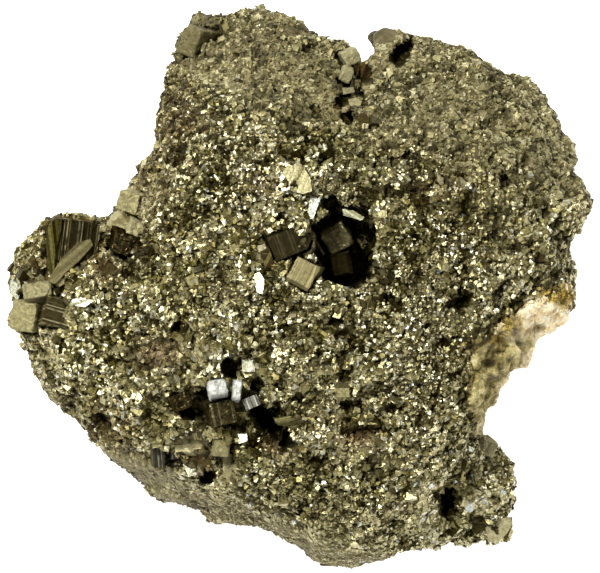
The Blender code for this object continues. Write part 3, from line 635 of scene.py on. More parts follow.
def make_grains(skin, bodies, plates):
    p, n = get_co(skin.data), get_no(skin.data)
    relief = Relief(p)
    made = []
    face = (n[:, 2] > -0.05) & (p[:, 2] > 12.0)
    for label, where, spacing, seed in (("face", face, 0.372, 1), ("flank", ~face, 0.72, 2)):
        rng = np.random.default_rng(100 + seed)
        pp, nn = p[where], n[where]
        pick = sample(pp, spacing, rng)
        pp, nn = pp[pick], nn[pick]
        uu, vv = plan_of(pp)
        gap = np.abs(uu - (354 + 0.16 * vv)) < 13 - 0.10 * vv
        lip = np.exp(-(((uu - 380) / 18) ** 2 + ((vv - 32) / 13) ** 2)) > 0.42
        ok = ~lip & (holes(pp, 2.0) < 1.2) & (pp[:, 2] > 0.5) & clear_of(pp, bodies) & off_plates(pp, plates) & ~(gap & (vv < 62) & (pp[:, 2] < 24))
        pp, nn = pp[ok], nn[ok]
        count = len(pp)
        u, v = plan_of(pp)
        w = dust_and_sheen(pp, nn)
        block = blobs(pp, COARSE)
        coarse = np.clip(1.0 + 0.22 * noise(pp, 9.0, 55) + 0.2 * noise(pp, 3.0, 56) + block, 0.6, 2.2)
        side = np.clip((0.5 - nn[:, 2]) / 0.5, 0, 1)
        coarse = 1 + (coarse - 1) * (1 - side)
        keep = rng.random(count) < np.clip(1.30 / coarse, 0.45, 0.955)
        pp, nn, u, v, w, coarse = (x[keep] for x in (pp, nn, u, v, w, coarse))
        count = len(pp)
        side = np.clip((0.5 - nn[:, 2]) / 0.5, 0, 1)
        size = spacing * 1.26 * (1 - 0.30 * side) * coarse * np.exp(rng.normal(0, 0.26, count))
        size = np.where(rng.random(count) < 0.008, size * rng.uniform(1.4, 2.0, count), size)
        strip = smooth(v - np.interp(u, *zip(*LOW_RIM)), -4, 18) if label == "face" else np.zeros(count)
        lip = 1.3 * np.exp(-(((u - 374) / 16) ** 2 + ((v - 38) / 14) ** 2))
        lip = np.clip(lip, 0, 1)
        flat = np.clip(np.maximum(side * 1.6, strip) + lip, 0, 1)
        size = size * (1 - 0.15 * w) * (1 - 0.30 * strip) * (1 - 0.45 * lip)
        sizes = size[:, None] * np.exp(rng.normal(0, 0.25, (count, 3)))
        sizes = np.where(flat[:, None] > 0.3, sizes * (1.10, 1.10, 0.5), sizes)
        lift = rng.normal(0.0, 0.26, count) - 0.10 - 0.16 * w
        lift = np.minimum(lift, 0.30 - 0.62 * side)
        lift = np.where((flat > 0.3) & (strip < 0.3), rng.normal(-0.06, 0.10, count), lift)
        centres = pp + nn * (lift * size)[:, None]
        kinds = rng.choice(4, count, p=(0.24, 0.06, 0.36, 0.34))
        turns = turned(rng.normal(size=(count, 4)))
        scale = facing(nn + rng.normal(0, 0.16, (count, 3)), rng)
        turns = np.where(flat[:, None, None] > 0.3, scale, turns)
        clump = smooth(noise(pp, 1.5, 64) + 0.35 * noise(pp, 7.0, 62), 0.24, 0.48)
        share = 0.015 + (0.05 * np.clip(noise(pp, 2.6, 61), 0, 1) + 0.42 * clump) * (1 - w) * (1 - flat)
        share = np.clip(share + blobs(pp, GLINTS), 0, 0.92)
        caught = (rng.random(count) < share) & (nn[:, 2] > 0.2)
        aim = HALF[None] + rng.normal(0, 0.22, (count, 3))
        turns = np.where(caught[:, None, None], facing(aim, rng), turns)
        kinds = np.where(caught, rng.choice((0, 1), count), kinds)
        most = np.where(caught, 0.70 / np.maximum(sizes.max(axis=1), 1e-6), 1.0)
        sizes = sizes * np.minimum(most, 1.0)[:, None]
        centres += nn * (caught * 0.12 * size)[:, None]
        # painted shade: grains along the winding crevices get a darker tone (0.62 * gap), on top of the real dips cut
        # into the skin there
        gap = crevices(pp)
        # painted light: grains on the lower rim (strip) get a lighter tone; TONES adds places painted lighter or darker
        tone = (0.60 + 0.26 * rng.normal(size=count) * (1 - 0.5 * flat) + blobs(pp, TONES) + 0.26 * noise(pp, 6.0, 77)
                + 0.30 * noise(pp, 2.2, 79) + 0.16 * noise(pp, 12.0, 76) + 0.30 * strip - 0.62 * gap)
        # painted shade: grains lying in clefts, pits and hollows get a darker tone
        hollow_shade = relief.hollow_shade(pp)
        # painted shade: inside the central vug, the lower a grain lies the darker its tone
        inside = ((u - 343) / 36) ** 2 + ((v - 250) / 37) ** 2 < 1
        hollow_shade = np.maximum(hollow_shade, np.clip((40.5 - pp[:, 2]) / 3, 0, 1) * inside)
        caught &= (hollow_shade < 0.35) & (gap < 0.5)
        tone = np.clip(tone - 1.1 * hollow_shade, 0, 1)
        # painted highlight: grains turned to catch the lamp also get a lighter tone and a paler, creamier tint
        tone = np.where(caught, np.maximum(tone, 0.75), tone)
        tint = np.clip(0.42 + 0.17 * rng.normal(size=count) + 0.14 * noise(pp, 7.0, 78), 0, 0.8)
        tint = np.where(caught, rng.uniform(0.50, 0.86, count), tint)
        tint = np.where(rng.random(count) > 0.95, rng.uniform(0.8, 1.0, count), tint)
        rust = np.clip(blobs(pp, RUST) + 0.12 * noise(pp, 3.0, 80), 0, 1)
        values = {"tone": tone, "tint": tint, "dull": w, "rust": rust}
        if label == "face":
            part = (pp[:, 0] > 0) * 1 + (pp[:, 1] > 0) * 2
            names = ("lower_left", "lower_right", "upper_left", "upper_right")
        else:
            part = (pp[:, 0] > 0) * 1
            names = ("left", "right")
        for k, name in enumerate(names):
            here = part == k
            verts, loops, totals, own = grow(
                centres[here], sizes[here], turns[here], kinds[here],
                {key: x[here] for key, x in values.items()}, rng)
            mesh = flat_mesh(f"grains_{label}_{name}", verts, loops, totals)
            for key, x in own.items():
                attribute(mesh, key, x)
            made.append(link(f"grains_{label}_{name}", mesh))
            print(made[-1].name, here.sum(), "grains", int((totals - 2).sum()), "triangles")
    return made


# ------------------------------------------------------------------ crystals
def comb(half, reach, depth, rng):
    """Outline with growth lines down its left and right sides: broad treads, narrow tilted strips."""
    points = []
    for side in (1, -1):
        y, level, broad = -reach, depth * rng.uniform(0.2, 0.8), True
        run = [(half - level, y)]
        while y < reach:
            if broad:
                y += rng.uniform(0.22, 0.80)
                level += rng.normal(0, 0.012)
            else:
                width = rng.uniform(0.11, 0.20)
                y += width
                up = (level < depth / 2) != (rng.random() < 0.2)
                level += width * rng.uniform(0.40, 0.62) * (1 if up else -1)
            broad = not broad
            level = min(max(level, 0.0), depth)
            run.append((half - level, min(y, reach)))
        if side < 0:
            run = [(-a, b) for a, b in run[::-1]]
        points += run
    return points


def prism(outline, length, axes):
    """Extrudes an outline; axes names where its x, y and the extrusion go."""
    bm = bmesh.new()
    ends = []
    for end in (-length, length):
        ring = []
        for a, b in outline:
            q = [0, 0, 0]
            q[axes[0]], q[axes[1]], q[axes[2]] = a, b, end
            ring.append(bm.verts.new(q))
        ends.append(ring)
    low, high = ends
    bm.faces.new(low)
    bm.faces.new(high[::-1])
    for k in range(len(outline)):
        j = (k + 1) % len(outline)
        bm.faces.new((low[k], high[k], high[j], low[j]))
    bmesh.ops.recalc_face_normals(bm, faces=bm.faces)
    mesh = bpy.data.meshes.new("prism")
    bm.to_mesh(mesh)
    bm.free()
    return link("prism", mesh)


def striated(size, depth, cuts, rng):
    """A cube with real growth steps on its faces and its corners cut back; local, mm."""
    hx, hy, hz = (x / 2 for x in size)
    m = 0.4
    solid = prism(comb(hx, hy + m, depth, rng), hz + 2 * m, (0, 1, 2))
    for outline, length, axes in (
        (comb(hy, hz + m, depth, rng), hx + 2 * m, (1, 2, 0)),
        (comb(hz, hx + m, depth, rng), hy + 2 * m, (2, 0, 1)),
    ):
        other = prism(outline, length, axes)
        step = solid.modifiers.new("cut", "BOOLEAN")
        step.operation, step.solver, step.object = "INTERSECT", "EXACT", other
        settle(solid)
        bpy.data.objects.remove(other)
    bm = bmesh.new()
    bm.from_mesh(solid.data)
    bpy.data.objects.remove(solid)
    for normal, share in cuts:
        d = Vector(normal).normalized()
        reach = abs(d.x) * hx + abs(d.y) * hy + abs(d.z) * hz
        got = bmesh.ops.bisect_plane(
            bm, geom=bm.verts[:] + bm.edges[:] + bm.faces[:], plane_co=d * reach * share,
            plane_no=d, clear_outer=True)
        edges = [e for e in got["geom_cut"] if isinstance(e, bmesh.types.BMEdge)]
        bmesh.ops.holes_fill(bm, edges=edges, sides=0)
    return bm


LOOKS = {      # for each crystal of a node: tone, pale tint, dull, growth lines, weathered
    "vug_crystal_pair": [(0.46, 0.0, 0.25, 0.1, 1), (0.16, 0.0, 0.1, 0.1, 0), (0.5, 0.3, 0.1, 0, 0)],
    "vug_rim_crystal": [(0.05, 0.0, 0.1, 0.2, 0), (0.40, 0.0, 0.5, 0.6, 0), (0.10, 0.0, 0.2, 0.3, 1)],
    "shoulder_crystal": [(0.04, 0.0, 0.0, 0.8, 0), (0.04, 0.0, 0.0, 0.6, 0)],
    "edge_crystal": [(0.06, 0.0, 0.1, 0.8, 0), (0.75, 0.0, 0.9, 0, 1), (0.5, 0.25, 0.8, 0, 1)],
    "corner_crystals": [(0.8, 0.0, 0.85, 0, 1), (1.0, 0.0, 0.95, 0, 1), (0.85, 0.1, 0.75, 0, 1),
                        (0.0, 0.0, 0.0, 0.1, 1)],
    "crest_crystal": [(0.2, 0.0, 0.8, 0, 1)],
    "lower_vug_crystals": [(0.9, 0.95, 0.75, 0, 1), (0.02, 0.0, 0.1, 0.35, 1), (0.9, 0.9, 0.7, 0, 1),
                           (0.2, 0.7, 0.2, 0.8, 0), (0.08, 0.0, 0.1, 0.3, 0)],
    "dark_vug_crystal": [(0.0, 0.0, 0.0, 0.1, 1)],
    "striated_crystal_pair": [(0.0, 0.3, 0.1, 0.7, 0), (0.0, 0.3, 0.1, 0.7, 0)],
    "square_crystal": [(0.55, 0.0, 0.8, 0, 1)],
    "notch_crystals": [(0.75, 0.3, 0.85, 0, 1), (0.85, 0.3, 0.85, 0, 1)],
    "lobe_crystal": [(1.0, 0.5, 0.85, 0, 1)],
}


def weathered(part, rng):
    """Rounds the edges of a crystal and roughens its faces; local, mm."""
    mesh = bpy.data.meshes.new("weathered")
    part.to_mesh(mesh)
    part.free()
    obj = link("weathered", mesh)
    remesh(obj, 0.19 / MM)
    soft = obj.modifiers.new("soft", "SMOOTH")
    soft.factor, soft.iterations = 0.5, 9
    settle(obj)
    p, n = get_co(obj.data) * MM, get_no(obj.data)
    q = p + rng.uniform(-40, 40, 3)
    move = 0.03 + 0.07 * facets(q, 1.5, 61) + 0.07 * facets(q, 0.6, 62) + 0.05 * noise(q, 0.5, 63) - 0.04
    obj.data.vertices.foreach_set("co", (p + n * move[:, None]).astype(np.float32).ravel())
    decimate(obj, 0.4)
    bm = bmesh.new()
    bm.from_mesh(obj.data)
    bpy.data.objects.remove(obj)
    return bm


def crystal_cluster(name, specs, number, looks):
    """Joins the crystals of one node. Returns the object and their boxes."""
    joined = bmesh.new()
    layers = [joined.verts.layers.float.new(x) for x in ("tone", "tint", "dull", "lined")]
    across = joined.verts.layers.float.new("across")
    bodies = []
    for k, (u, v, z, sx, sy, sz, angles, cuts) in enumerate(specs):
        rng = np.random.default_rng(900 + 17 * number + k)
        part = striated((sx, sy, sz), 0.20, cuts, rng)
        if looks[k][4]:
            part = weathered(part, rng)
        x, y = xy(u, v)
        turn = Euler([math.radians(a) for a in angles]).to_matrix()
        shade = looks[k]
        place = Matrix.Translation((x, y, z)) @ turn.to_4x4()
        made = {}
        for vert in part.verts:
            q = joined.verts.new(place @ vert.co * MM)
            for layer, x in zip(layers, shade):
                q[layer] = x
            q[across] = vert.co.x + 20.0 * k
            made[vert] = q
        for f in part.faces:
            joined.faces.new([made[q] for q in f.verts])
        part.free()
        bodies.append((np.array((x, y, z)), np.array((sx, sy, sz)) / 2 + 0.12, np.array(turn)))
    mesh = bpy.data.meshes.new(name)
    joined.to_mesh(mesh)
    joined.free()
    mesh.shade_flat()
    return link(name, mesh), bodies


OCTA = [((1, 1, 1), 0.86), ((-1, 1, 1), 0.88), ((1, -1, 1), 0.85), ((-1, -1, 1), 0.87)]
CRYSTALS = {
    "vug_crystal_pair": [
        (336, 235, 34.6, 4.2, 4.1, 5.6, (12, -6, 28), OCTA + [((0, 1, 1), 0.84)]),
        (338, 259, 33.2, 3.2, 4.2, 6.0, (26, 6, 14), [((0, -1, 1), 0.80), ((1, 0, 1), 0.84)]),
        (320, 248, 31.6, 1.5, 4.2, 5.0, (8, -20, 28), [((1, 0, 1), 0.80)]),
    ],
    "vug_rim_crystal": [
        (285, 241, 42.2, 6.2, 4.0, 7.4, (8, 10, 22), OCTA[:2] + [((1, -1, 0.6), 0.84)]),
        (305, 274, 42.2, 3.9, 4.1, 6.8, (4, -6, -27), [((1, 0.2, 1), 0.86), ((0, -1, 1), 0.86)]),
        (277, 263, 40.4, 4.6, 3.8, 6.0, (12, 6, 20), [((-1, 0, 1), 0.84)]),
    ],
    "shoulder_crystal": [
        (73, 240, 28.2, 6.8, 6.4, 9.0, (3, 8, -7),
         [((1, -1, 0), 0.66), ((-1, 1.4, 0), 0.84), ((1, 2.2, 0), 0.90), ((1, -0.5, 1), 0.88)]),
        (59, 259, 28.2, 3.8, 4.6, 7.0, (4, 8, -7), [((1, -1, 0), 0.70), ((-1, 0, 1), 0.86)]),
    ],
    "edge_crystal": [
        (55, 314, 28.6, 4.3, 4.1, 7.6, (7, 7, 75), [((1, 1, 1), 0.88), ((1, -1, 0.3), 0.84)]),
        (29, 316, 25.0, 4.2, 4.6, 6.6, (4, -17, -10), [((-1, -1, 0.3), 0.84), ((-1, 1, 0.4), 0.90)]),
        (39, 298, 26.0, 4.6, 2.8, 7.0, (-24, 0, 8), [((-1, 1, 1), 0.88), ((1, 1, 1), 0.90)]),
    ],
    "corner_crystals": [
        (135, 202, 29.0, 3.7, 3.3, 6.4, (8, -18, -18), [((-1, 1, 0.4), 0.86)]),
        (122, 221, 29.6, 3.3, 2.8, 6.4, (8, -16, 36), [((-1, 0, 1), 0.88)]),
        (137, 229, 33.0, 3.2, 2.6, 6.4, (4, 6, -28), [((1, 1, 1), 0.88)]),
        (131, 244, 34.4, 6.2, 3.4, 6.0, (7, 8, -16), [((1, 1, 0.2), 0.88), ((-1, -1, 0.4), 0.86)]),
    ],
    "crest_crystal": [
        (198, 42, 18.4, 3.4, 4.8, 6.4, (8, -28, -22), [((-1, 1, 0.3), 0.80), ((1, 1, 1), 0.90)]),
    ],
    "lower_vug_crystals": [
        (218, 389, 40.4, 3.0, 2.5, 5.0, (-10, 3, 12), OCTA[:3]),
        (221, 411, 37.8, 4.2, 3.8, 5.0, (8, 8, 12), [((1, 1, 1), 0.86)]),
        (237, 390, 40.0, 1.5, 3.2, 4.8, (-9, 2, -6), [((0, 1, 1), 0.84)]),
        (251, 402, 38.4, 2.6, 1.9, 4.4, (-2, 5, 22), [((1, 0, 1), 0.88)]),
        (212, 405, 36.4, 2.8, 2.6, 3.4, (8, 14, 38), [((-1, -1, 1), 0.86)]),
    ],
    "dark_vug_crystal": [
        (181, 400, 37.0, 3.1, 2.8, 3.8, (8, 8, 24), [((-1, -1, 1), 0.84), ((1, 1, 1), 0.86)]),
    ],
    "striated_crystal_pair": [
        (161, 452, 27.9, 2.4, 3.8, 4.8, (10, -14, 2), [((-1, 0, 1), 0.80)]),
        (173, 450, 27.6, 2.0, 2.2, 4.2, (12, 16, 2), [((1, 0, 1), 0.82)]),
    ],
    "square_crystal": [
        (221, 447, 36.4, 2.3, 2.6, 4.4, (4, 10, 2), [((0, 1, 1), 0.84), ((1, 0, 1), 0.86)]),
    ],
    "notch_crystals": [
        (350, 56, 21.6, 2.9, 2.5, 4.4, (6, 5, 24), OCTA[:3]),
        (346, 74, 24.9, 2.0, 2.5, 4.0, (7, 8, -24), OCTA[1:3]),
    ],
    "lobe_crystal": [
        (487, 447, 22.8, 2.9, 2.6, 4.4, (6, 4, -24), [((1, 1, 1), 0.86), ((-1, 1, 1), 0.84)]),
    ],
}

# ------------------------------------------------------------------ single crystal faces
# Broken and grown faces that stand clear of the grains: corners in the plan, the way the face
# leans (x, y), lift mm, growth lines (direction deg, pitch mm) or None, tone, tint, dull, rust.
FACES = [
    # bright facets by the central vug and in the lower left vugs
    ([(310, 197), (321, 198), (313, 220), (307, 219)], (-0.02, 0.46), 1.0, None, 0.66, 0.95, 0.0, 0.0),
    ([(342, 209), (353, 211), (364, 218), (361, 221), (343, 216)], (-0.02, 0.50), 42.0, (-30, 0.3), 0.22, 0.95, 0.1, 0.0),
    ([(314, 240), (316, 239), (325, 254), (323, 256)], (-0.30, 0.2), 36.6, None, 0.8, 0.5, 0.3, 0.0),
    ([(72, 300), (84, 296), (95, 301), (86, 307), (76, 306)], (-0.42, 0.08), 0.6, (20, 0.5), 0.95, 0.8, 0.0, 0.0),
    ([(283, 170), (292, 166), (303, 168), (310, 178), (312, 192), (303, 195), (291, 192), (284, 184)],
     (-0.46, 0.06), 0.15, (68, 0.20), 0.62, 0.55, 0.12, 0.0),
    ([(254, 274), (260, 272), (265, 280), (263, 294), (257, 292)], (-0.36, 0.10), 0.4, (80, 0.4), 0.9, 0.75, 0.0, 0.0),
    ([(238, 433), (247, 433), (248, 440), (239, 443)], (-0.02, 0.38), 0.5, None, 0.9, 0.8, 0.1, 0.0),
    # grey striated blocks
    ([(242, 358), (256, 358), (258, 371), (243, 371)], (0.02, 0.14), 1.0, (90, 0.24), 0.7, 0.9, 0.2, 0.0),
    ([(274, 417), (296, 414), (303, 420), (300, 427), (278, 424)], (0.14, -0.16), 0.4, (12, 0.3), 0.08, 0.6, 0.3, 0.0),
    ([(183, 464), (191, 461), (197, 474), (189, 477)], (-0.04, 0.36), 0.5, (62, 0.22), 0.6, 0.9, 0.1, 0.0),
    # tan blocks at the lower left
    ([(172, 437), (206, 434), (209, 447), (176, 452)], (-0.1, -0.12), 0.4, (5, 0.6), 0.6, 0.5, 0.75, 0.1),
    ([(224, 454), (232, 453), (237, 478), (228, 482), (223, 468)], (0.15, -0.1), 0.5, (80, 0.5), 0.7, 0.5, 0.75, 0.1),
    ([(190, 452), (203, 448), (213, 460), (207, 468), (196, 466)], (0.25, -0.2), 0.2, (40, 0.5), 0.05, 0.2, 0.2, 0.5),
    ([(152, 441), (162, 439), (163, 446), (153, 448)], (0.02, 0.16), 0.8, (0, 0.3), 0.25, 0.85, 0.3, 0.0),
    ([(236, 371), (245, 370), (248, 377), (239, 380)], (0.1, 0.0), 0.9, None, 0.7, 0.5, 0.6, 0.0),
    # faces along the left edge
    ([(9, 281), (17, 276), (22, 290), (17, 300), (10, 293)], (-0.44, 0.10), 0.5, None, 0.32, 0.98, 0.1, 0.0),
    ([(62, 259), (78, 243), (91, 239), (94, 245), (80, 261), (66, 273), (56, 284), (48, 281)], (0.12, -0.18), 33.2,
     (40, 0.34), 0.34, 0.4, 0.8, 0.1),
    ([(101, 266), (112, 263), (122, 270), (119, 280), (104, 278)], (0.1, -0.2), 0.2, (60, 0.4), 0.08, 0.2, 0.1, 0.3),
    ([(52, 276), (62, 272), (68, 282), (60, 287)], (0.1, -0.1), 0.5, None, 0.6, 0.4, 0.75, 0.1),
    ([(47, 231), (51, 223), (57, 219), (63, 219), (62, 230), (57, 250), (54, 277), (48, 270)], (0.14, -0.16), 33.5,
     (96, 0.3), 0.05, 0.2, 0.0, 0.0),
    # rim crystal
    ([(261, 252), (269, 247), (274, 262), (281, 266), (274, 271), (264, 265)], (0.15, -0.2), 0.5, (64, 0.4), 0.05, 0.2, 0.1, 0.2),
    ([(287, 252), (307, 241), (308, 244), (288, 256)], (0.1, -0.2), 1.9, None, 0.8, 0.45, 0.6, 0.0),
    # below the notch: plates and crystals round the dark slots
    ([(355, 65), (366, 62), (374, 74), (366, 83), (354, 80)], (0.12, -0.22), 0.7, (70, 0.5), 0.04, 0.2, 0.0, 0.3),
    ([(359, 86), (372, 85), (377, 90), (361, 92)], (0.0, -0.15), 0.5, None, 0.65, 0.4, 0.75, 0.0),
    ([(341, 89), (353, 87), (355, 92), (343, 95)], (0.0, -0.15), 0.4, None, 0.5, 0.85, 0.75, 0.1),
    ([(348, 100), (356, 98), (362, 102), (359, 108), (350, 108)], (0.05, -0.1), 0.5, None, 0.75, 0.4, 0.75, 0.0),
    ([(332, 108), (338, 106), (350, 122), (347, 128), (341, 123)], (0.2, -0.1), 0.2, (-52, 0.4), 0.10, 0.3, 0.2, 0.4),
    ([(356, 118), (362, 114), (369, 118), (368, 126), (359, 127)], (0.1, -0.1), 0.3, None, 0.06, 0.2, 0.05, 0.2),
    ([(308, 107), (315, 104), (321, 108), (319, 114), (311, 114)], (0.1, -0.1), -0.2, None, 0.10, 0.2, 0.1, 0.3),
    # top left facet, lobe, right edge
    ([(477, 440), (488, 435), (497, 442), (494, 455), (480, 454)], (0.05, 0.1), 0.6, None, 0.6, 0.6, 0.7, 0.0),
    ([(486, 528), (498, 519), (511, 518), (513, 524), (508, 534), (500, 541), (489, 543)], (0.1, -0.1), 0.3, None, 0.6, 0.6, 0.75, 0.0),
    ([(470, 518), (486, 515), (488, 530), (473, 534)], (0.2, 0.0), 0.3, None, 0.08, 0.6, 0.1, 0.0),
    ([(567, 286), (575, 283), (578, 296), (569, 299)], (0.0, 0.15), 0.5, (80, 0.22), 0.6, 0.9, 0.3, 0.0),
]


def clip(poly, axis, low, high):
    """A convex outline between two parallel lines."""
    for sign, limit in ((1, high), (-1, -low)):
        kept = []
        for k, a in enumerate(poly):
            b = poly[(k + 1) % len(poly)]
            da, db = sign * a @ axis - limit, sign * b @ axis - limit
            if da <= 0:
                kept.append(a)
            if (da < 0) != (db < 0) and abs(da - db) > 1e-9:
                kept.append(a + (b - a) * (da / (da - db)))
        poly = kept
        if len(poly) < 3:
            return []
    return poly


def make_faces(surface):
    """All single faces as closed blocks bedded in the rock. Returns object and plates."""
    bm = bmesh.new()
    layers = {k: bm.verts.layers.float.new(k) for k in ("tone", "tint", "dull", "rust")}
    plates = []
    for k, (corners, lean, lift, lines, tone, tint, dull, rust) in enumerate(FACES):
        rng = np.random.default_rng(3000 + k)
        poly = [np.array(xy(u, v)) for u, v in corners]
        area = sum(a[0] * b[1] - b[0] * a[1] for a, b in zip(poly, poly[1:] + poly[:1]))
        if area < 0:
            poly = poly[::-1]
        mid = sum(poly) / len(poly)
        z0 = lift if lift > 10 else surface(mid) + lift
        plates.append((poly, mid, z0, np.array(lean)))
        parts = [(poly, 0.0, np.zeros(2))]
        if lines:
            direction, pitch = math.radians(lines[0]), lines[1]
            across = np.array((-math.sin(direction), math.cos(direction)))
            along = np.array((across[1], -across[0]))
            reach = [q @ across for q in poly]
            at, parts = min(reach), []
            while at < max(reach):
                width = pitch * rng.uniform(0.6, 1.5)
                piece = clip(poly, across, at, min(at + width, max(reach)))
                if len(piece) >= 3:
                    parts.append((piece, rng.uniform(-0.06, 0.06), across * rng.normal(0, 0.13) + along * rng.normal(0, 0.03)))
                at += width
        for piece, up, tip in parts:
            own = sum(piece) / len(piece)
            top, low = [], []
            shade = tone + rng.normal(0, 0.12)
            for q in piece:
                z = z0 + up - (q - mid) @ np.array(lean) - (q - own) @ tip
                top.append(bm.verts.new((q[0] * MM, q[1] * MM, z * MM)))
                low.append(bm.verts.new((q[0] * MM, q[1] * MM, (z - 2.2) * MM)))
            for vert in top + low:
                vert[layers["tone"]] = min(max(shade, 0), 1)
                vert[layers["tint"]], vert[layers["dull"]], vert[layers["rust"]] = tint, dull, rust
            bm.faces.new(top)
            bm.faces.new(low[::-1])
            for i in range(len(top)):
                j = (i + 1) % len(top)
                bm.faces.new((top[j], top[i], low[i], low[j]))
    mesh = bpy.data.meshes.new("single_faces")
    bm.to_mesh(mesh)
    bm.free()
    mesh.shade_flat()
    return link("single_faces", mesh), plates


def off_plates(points, plates):
    free = np.ones(len(points), bool)
    for poly, mid, z0, lean in plates:
        inside = np.ones(len(points), bool)
        for a, b in zip(poly, poly[1:] + poly[:1]):
            edge = b - a
            inside &= (edge[0] * (points[:, 1] - a[1]) - edge[1] * (points[:, 0] - a[0])) > -0.02
        height = z0 - (points[:, :2] - mid) @ lean
        free &= ~(inside & (np.abs(points[:, 2] - height) < 2.4))
    return free


# ------------------------------------------------------------------ build
clusters, bodies = [], []
for number, (name, specs) in enumerate(CRYSTALS.items()):
    obj, own = crystal_cluster(f"{name}_grown", specs, number, LOOKS[name])
    clusters.append((obj, name))
    bodies += own

skin = make_skin()
graph = bpy.context.evaluated_depsgraph_get()
tree = BVHTree.FromObject(skin, graph)


def surface(q):
    """Height of the rock at a plan position, mm."""
    hit = tree.ray_cast(Vector((q[0] * MM, q[1] * MM, 0.1)), Vector((0, 0, -1)))[0]
    return hit.z / MM if hit else 15.0


faces, plates = make_faces(surface)
grains = make_grains(skin, bodies, plates)
decimate(skin, 0.28)
p, n = get_co(skin.data), get_no(skin.data)
attribute(skin.data, "dull", dust_and_sheen(p, n))
# painted shade for the groundmass: clefts, pits and the smooth lip of the notch are marked to be darkened
hollow_shade = np.maximum(Relief(p, 0.9).hollow_shade(p), 0.7 * holes(p, 2.0))
attribute(skin.data, "hollow_shade", np.clip(np.maximum(hollow_shade, lip_of_notch(p) * (0.62 + 0.5 * noise(p, 1.2, 90))), 0, 1))
skin.data.shade_flat()
print("skin", len(skin.data.polygons))

GRAINS, GROUND = grain_material(), ground_material()
skin.data.materials.clear()
skin.data.materials.append(GROUND)
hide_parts("pyrite_mass")
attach(skin, "root")
for g in grains + [faces]:
    g.data.materials.append(GRAINS)
    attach(g, "root")

CRYSTAL = crystal_material()
for obj, name in clusters:
    obj.data.materials.append(CRYSTAL)
    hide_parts(name)
    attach(obj, "root")
    print(name, len(obj.data.polygons))
QUARTZ = quartz_material()
seam = link("quartz_crust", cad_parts["quartz_seam"].data.copy())
remesh(seam, 0.27)
p, n = get_co(seam.data), get_no(seam.data)
CRACKS = [     # (u, v, ru, rv, depth mm): clefts and pits of the seam, sunk into it and painted darker as shade
    (514, 331, 3, 5, 1.2), (517, 341, 2, 6, 1.3), (488, 363, 7, 5, 1.6), (489, 383, 4, 8, 1.2), (498, 352, 7, 3, 0.9),
    (537, 327, 6, 3, 1.1), (486, 405, 3, 10, 0.8), (523, 350, 3, 6, 0.9), (492, 338, 12, 6, 0.9),
    (505, 343, 5, 4, 0.9), (510, 360, 4, 3, 0.7), (470, 420, 3, 10, 0.6), (547, 299, 9, 3, 0.5), (562, 293, 4, 3, 0.5),
]
veins = 1 - smooth(np.abs(noise(p * (1, 1, 0.35), 2.6, 38)), 0.0, 0.12)
low = blobs(p, CRACKS) + 0.30 * veins
lump = 0.42 * facets(p, 3.2, 31) + 0.30 * facets(p, 1.5, 32) + 0.14 * facets(p, 0.8, 33) + 0.3 * noise(p, 2.2, 36)
p = p + n * (0.32 + lump - low)[:, None]
p[:, 2] = np.maximum(p[:, 2], 0.05)
set_co(seam.data, p)
STAIN = [(548, 293, 26, 9, 1.35), (506, 324, 13, 9, 0.85), (490, 338, 20, 9, 0.8), (566, 292, 9, 8, 0.8)]
OLIVE = [(478, 392, 30, 62, 1.4), (500, 356, 26, 16, 1.1), (532, 342, 12, 12, 0.7)]


def seam_shades(q, pits):
    """Iron stain, olive tarnish and dark patches on the seam; pits adds painted shade in its clefts, pits and veins."""
    low_side = np.clip((22 - q[:, 2]) / 10, 0, 1)
    under = np.clip((35 - q[:, 2]) / 7, 0, 1)
    q = q + np.stack([3.4 * noise(q, 5.0, 45), 3.4 * noise(q, 5.0, 46), 0 * under], 1) * under[:, None]
    stain = blobs(q, STAIN) + 0.45 * noise(q, 2.0, 34) + 0.25 * low_side
    olive = blobs(q, OLIVE) + 0.40 * noise(q, 3.0, 35) + 0.45 * low_side
    dark = pits + (0.3 + 0.9 * np.clip(olive, 0, 1)) * np.clip(1.25 * (noise(q, 1.5, 37) - 0.30), 0, 1)
    dark = smooth(dark + 0.35 * noise(q, 0.9, 41) + 0.30 * noise(q, 0.4, 42), 0.25, 1.05)
    return {"stain": smooth(stain + 0.25 * noise(q, 0.6, 43), 0.15, 0.75), "olive": np.clip(olive, 0, 1), "dark": dark}


# painted shade: the seam is darker in its upper clefts and pits and along the veins
shades = seam_shades(p, 0.75 * np.clip(blobs(p, CRACKS), 0, 1.1) * smooth(p[:, 2], 24, 34) + 0.22 * veins)
for key, x in shades.items():
    attribute(seam.data, key, x)

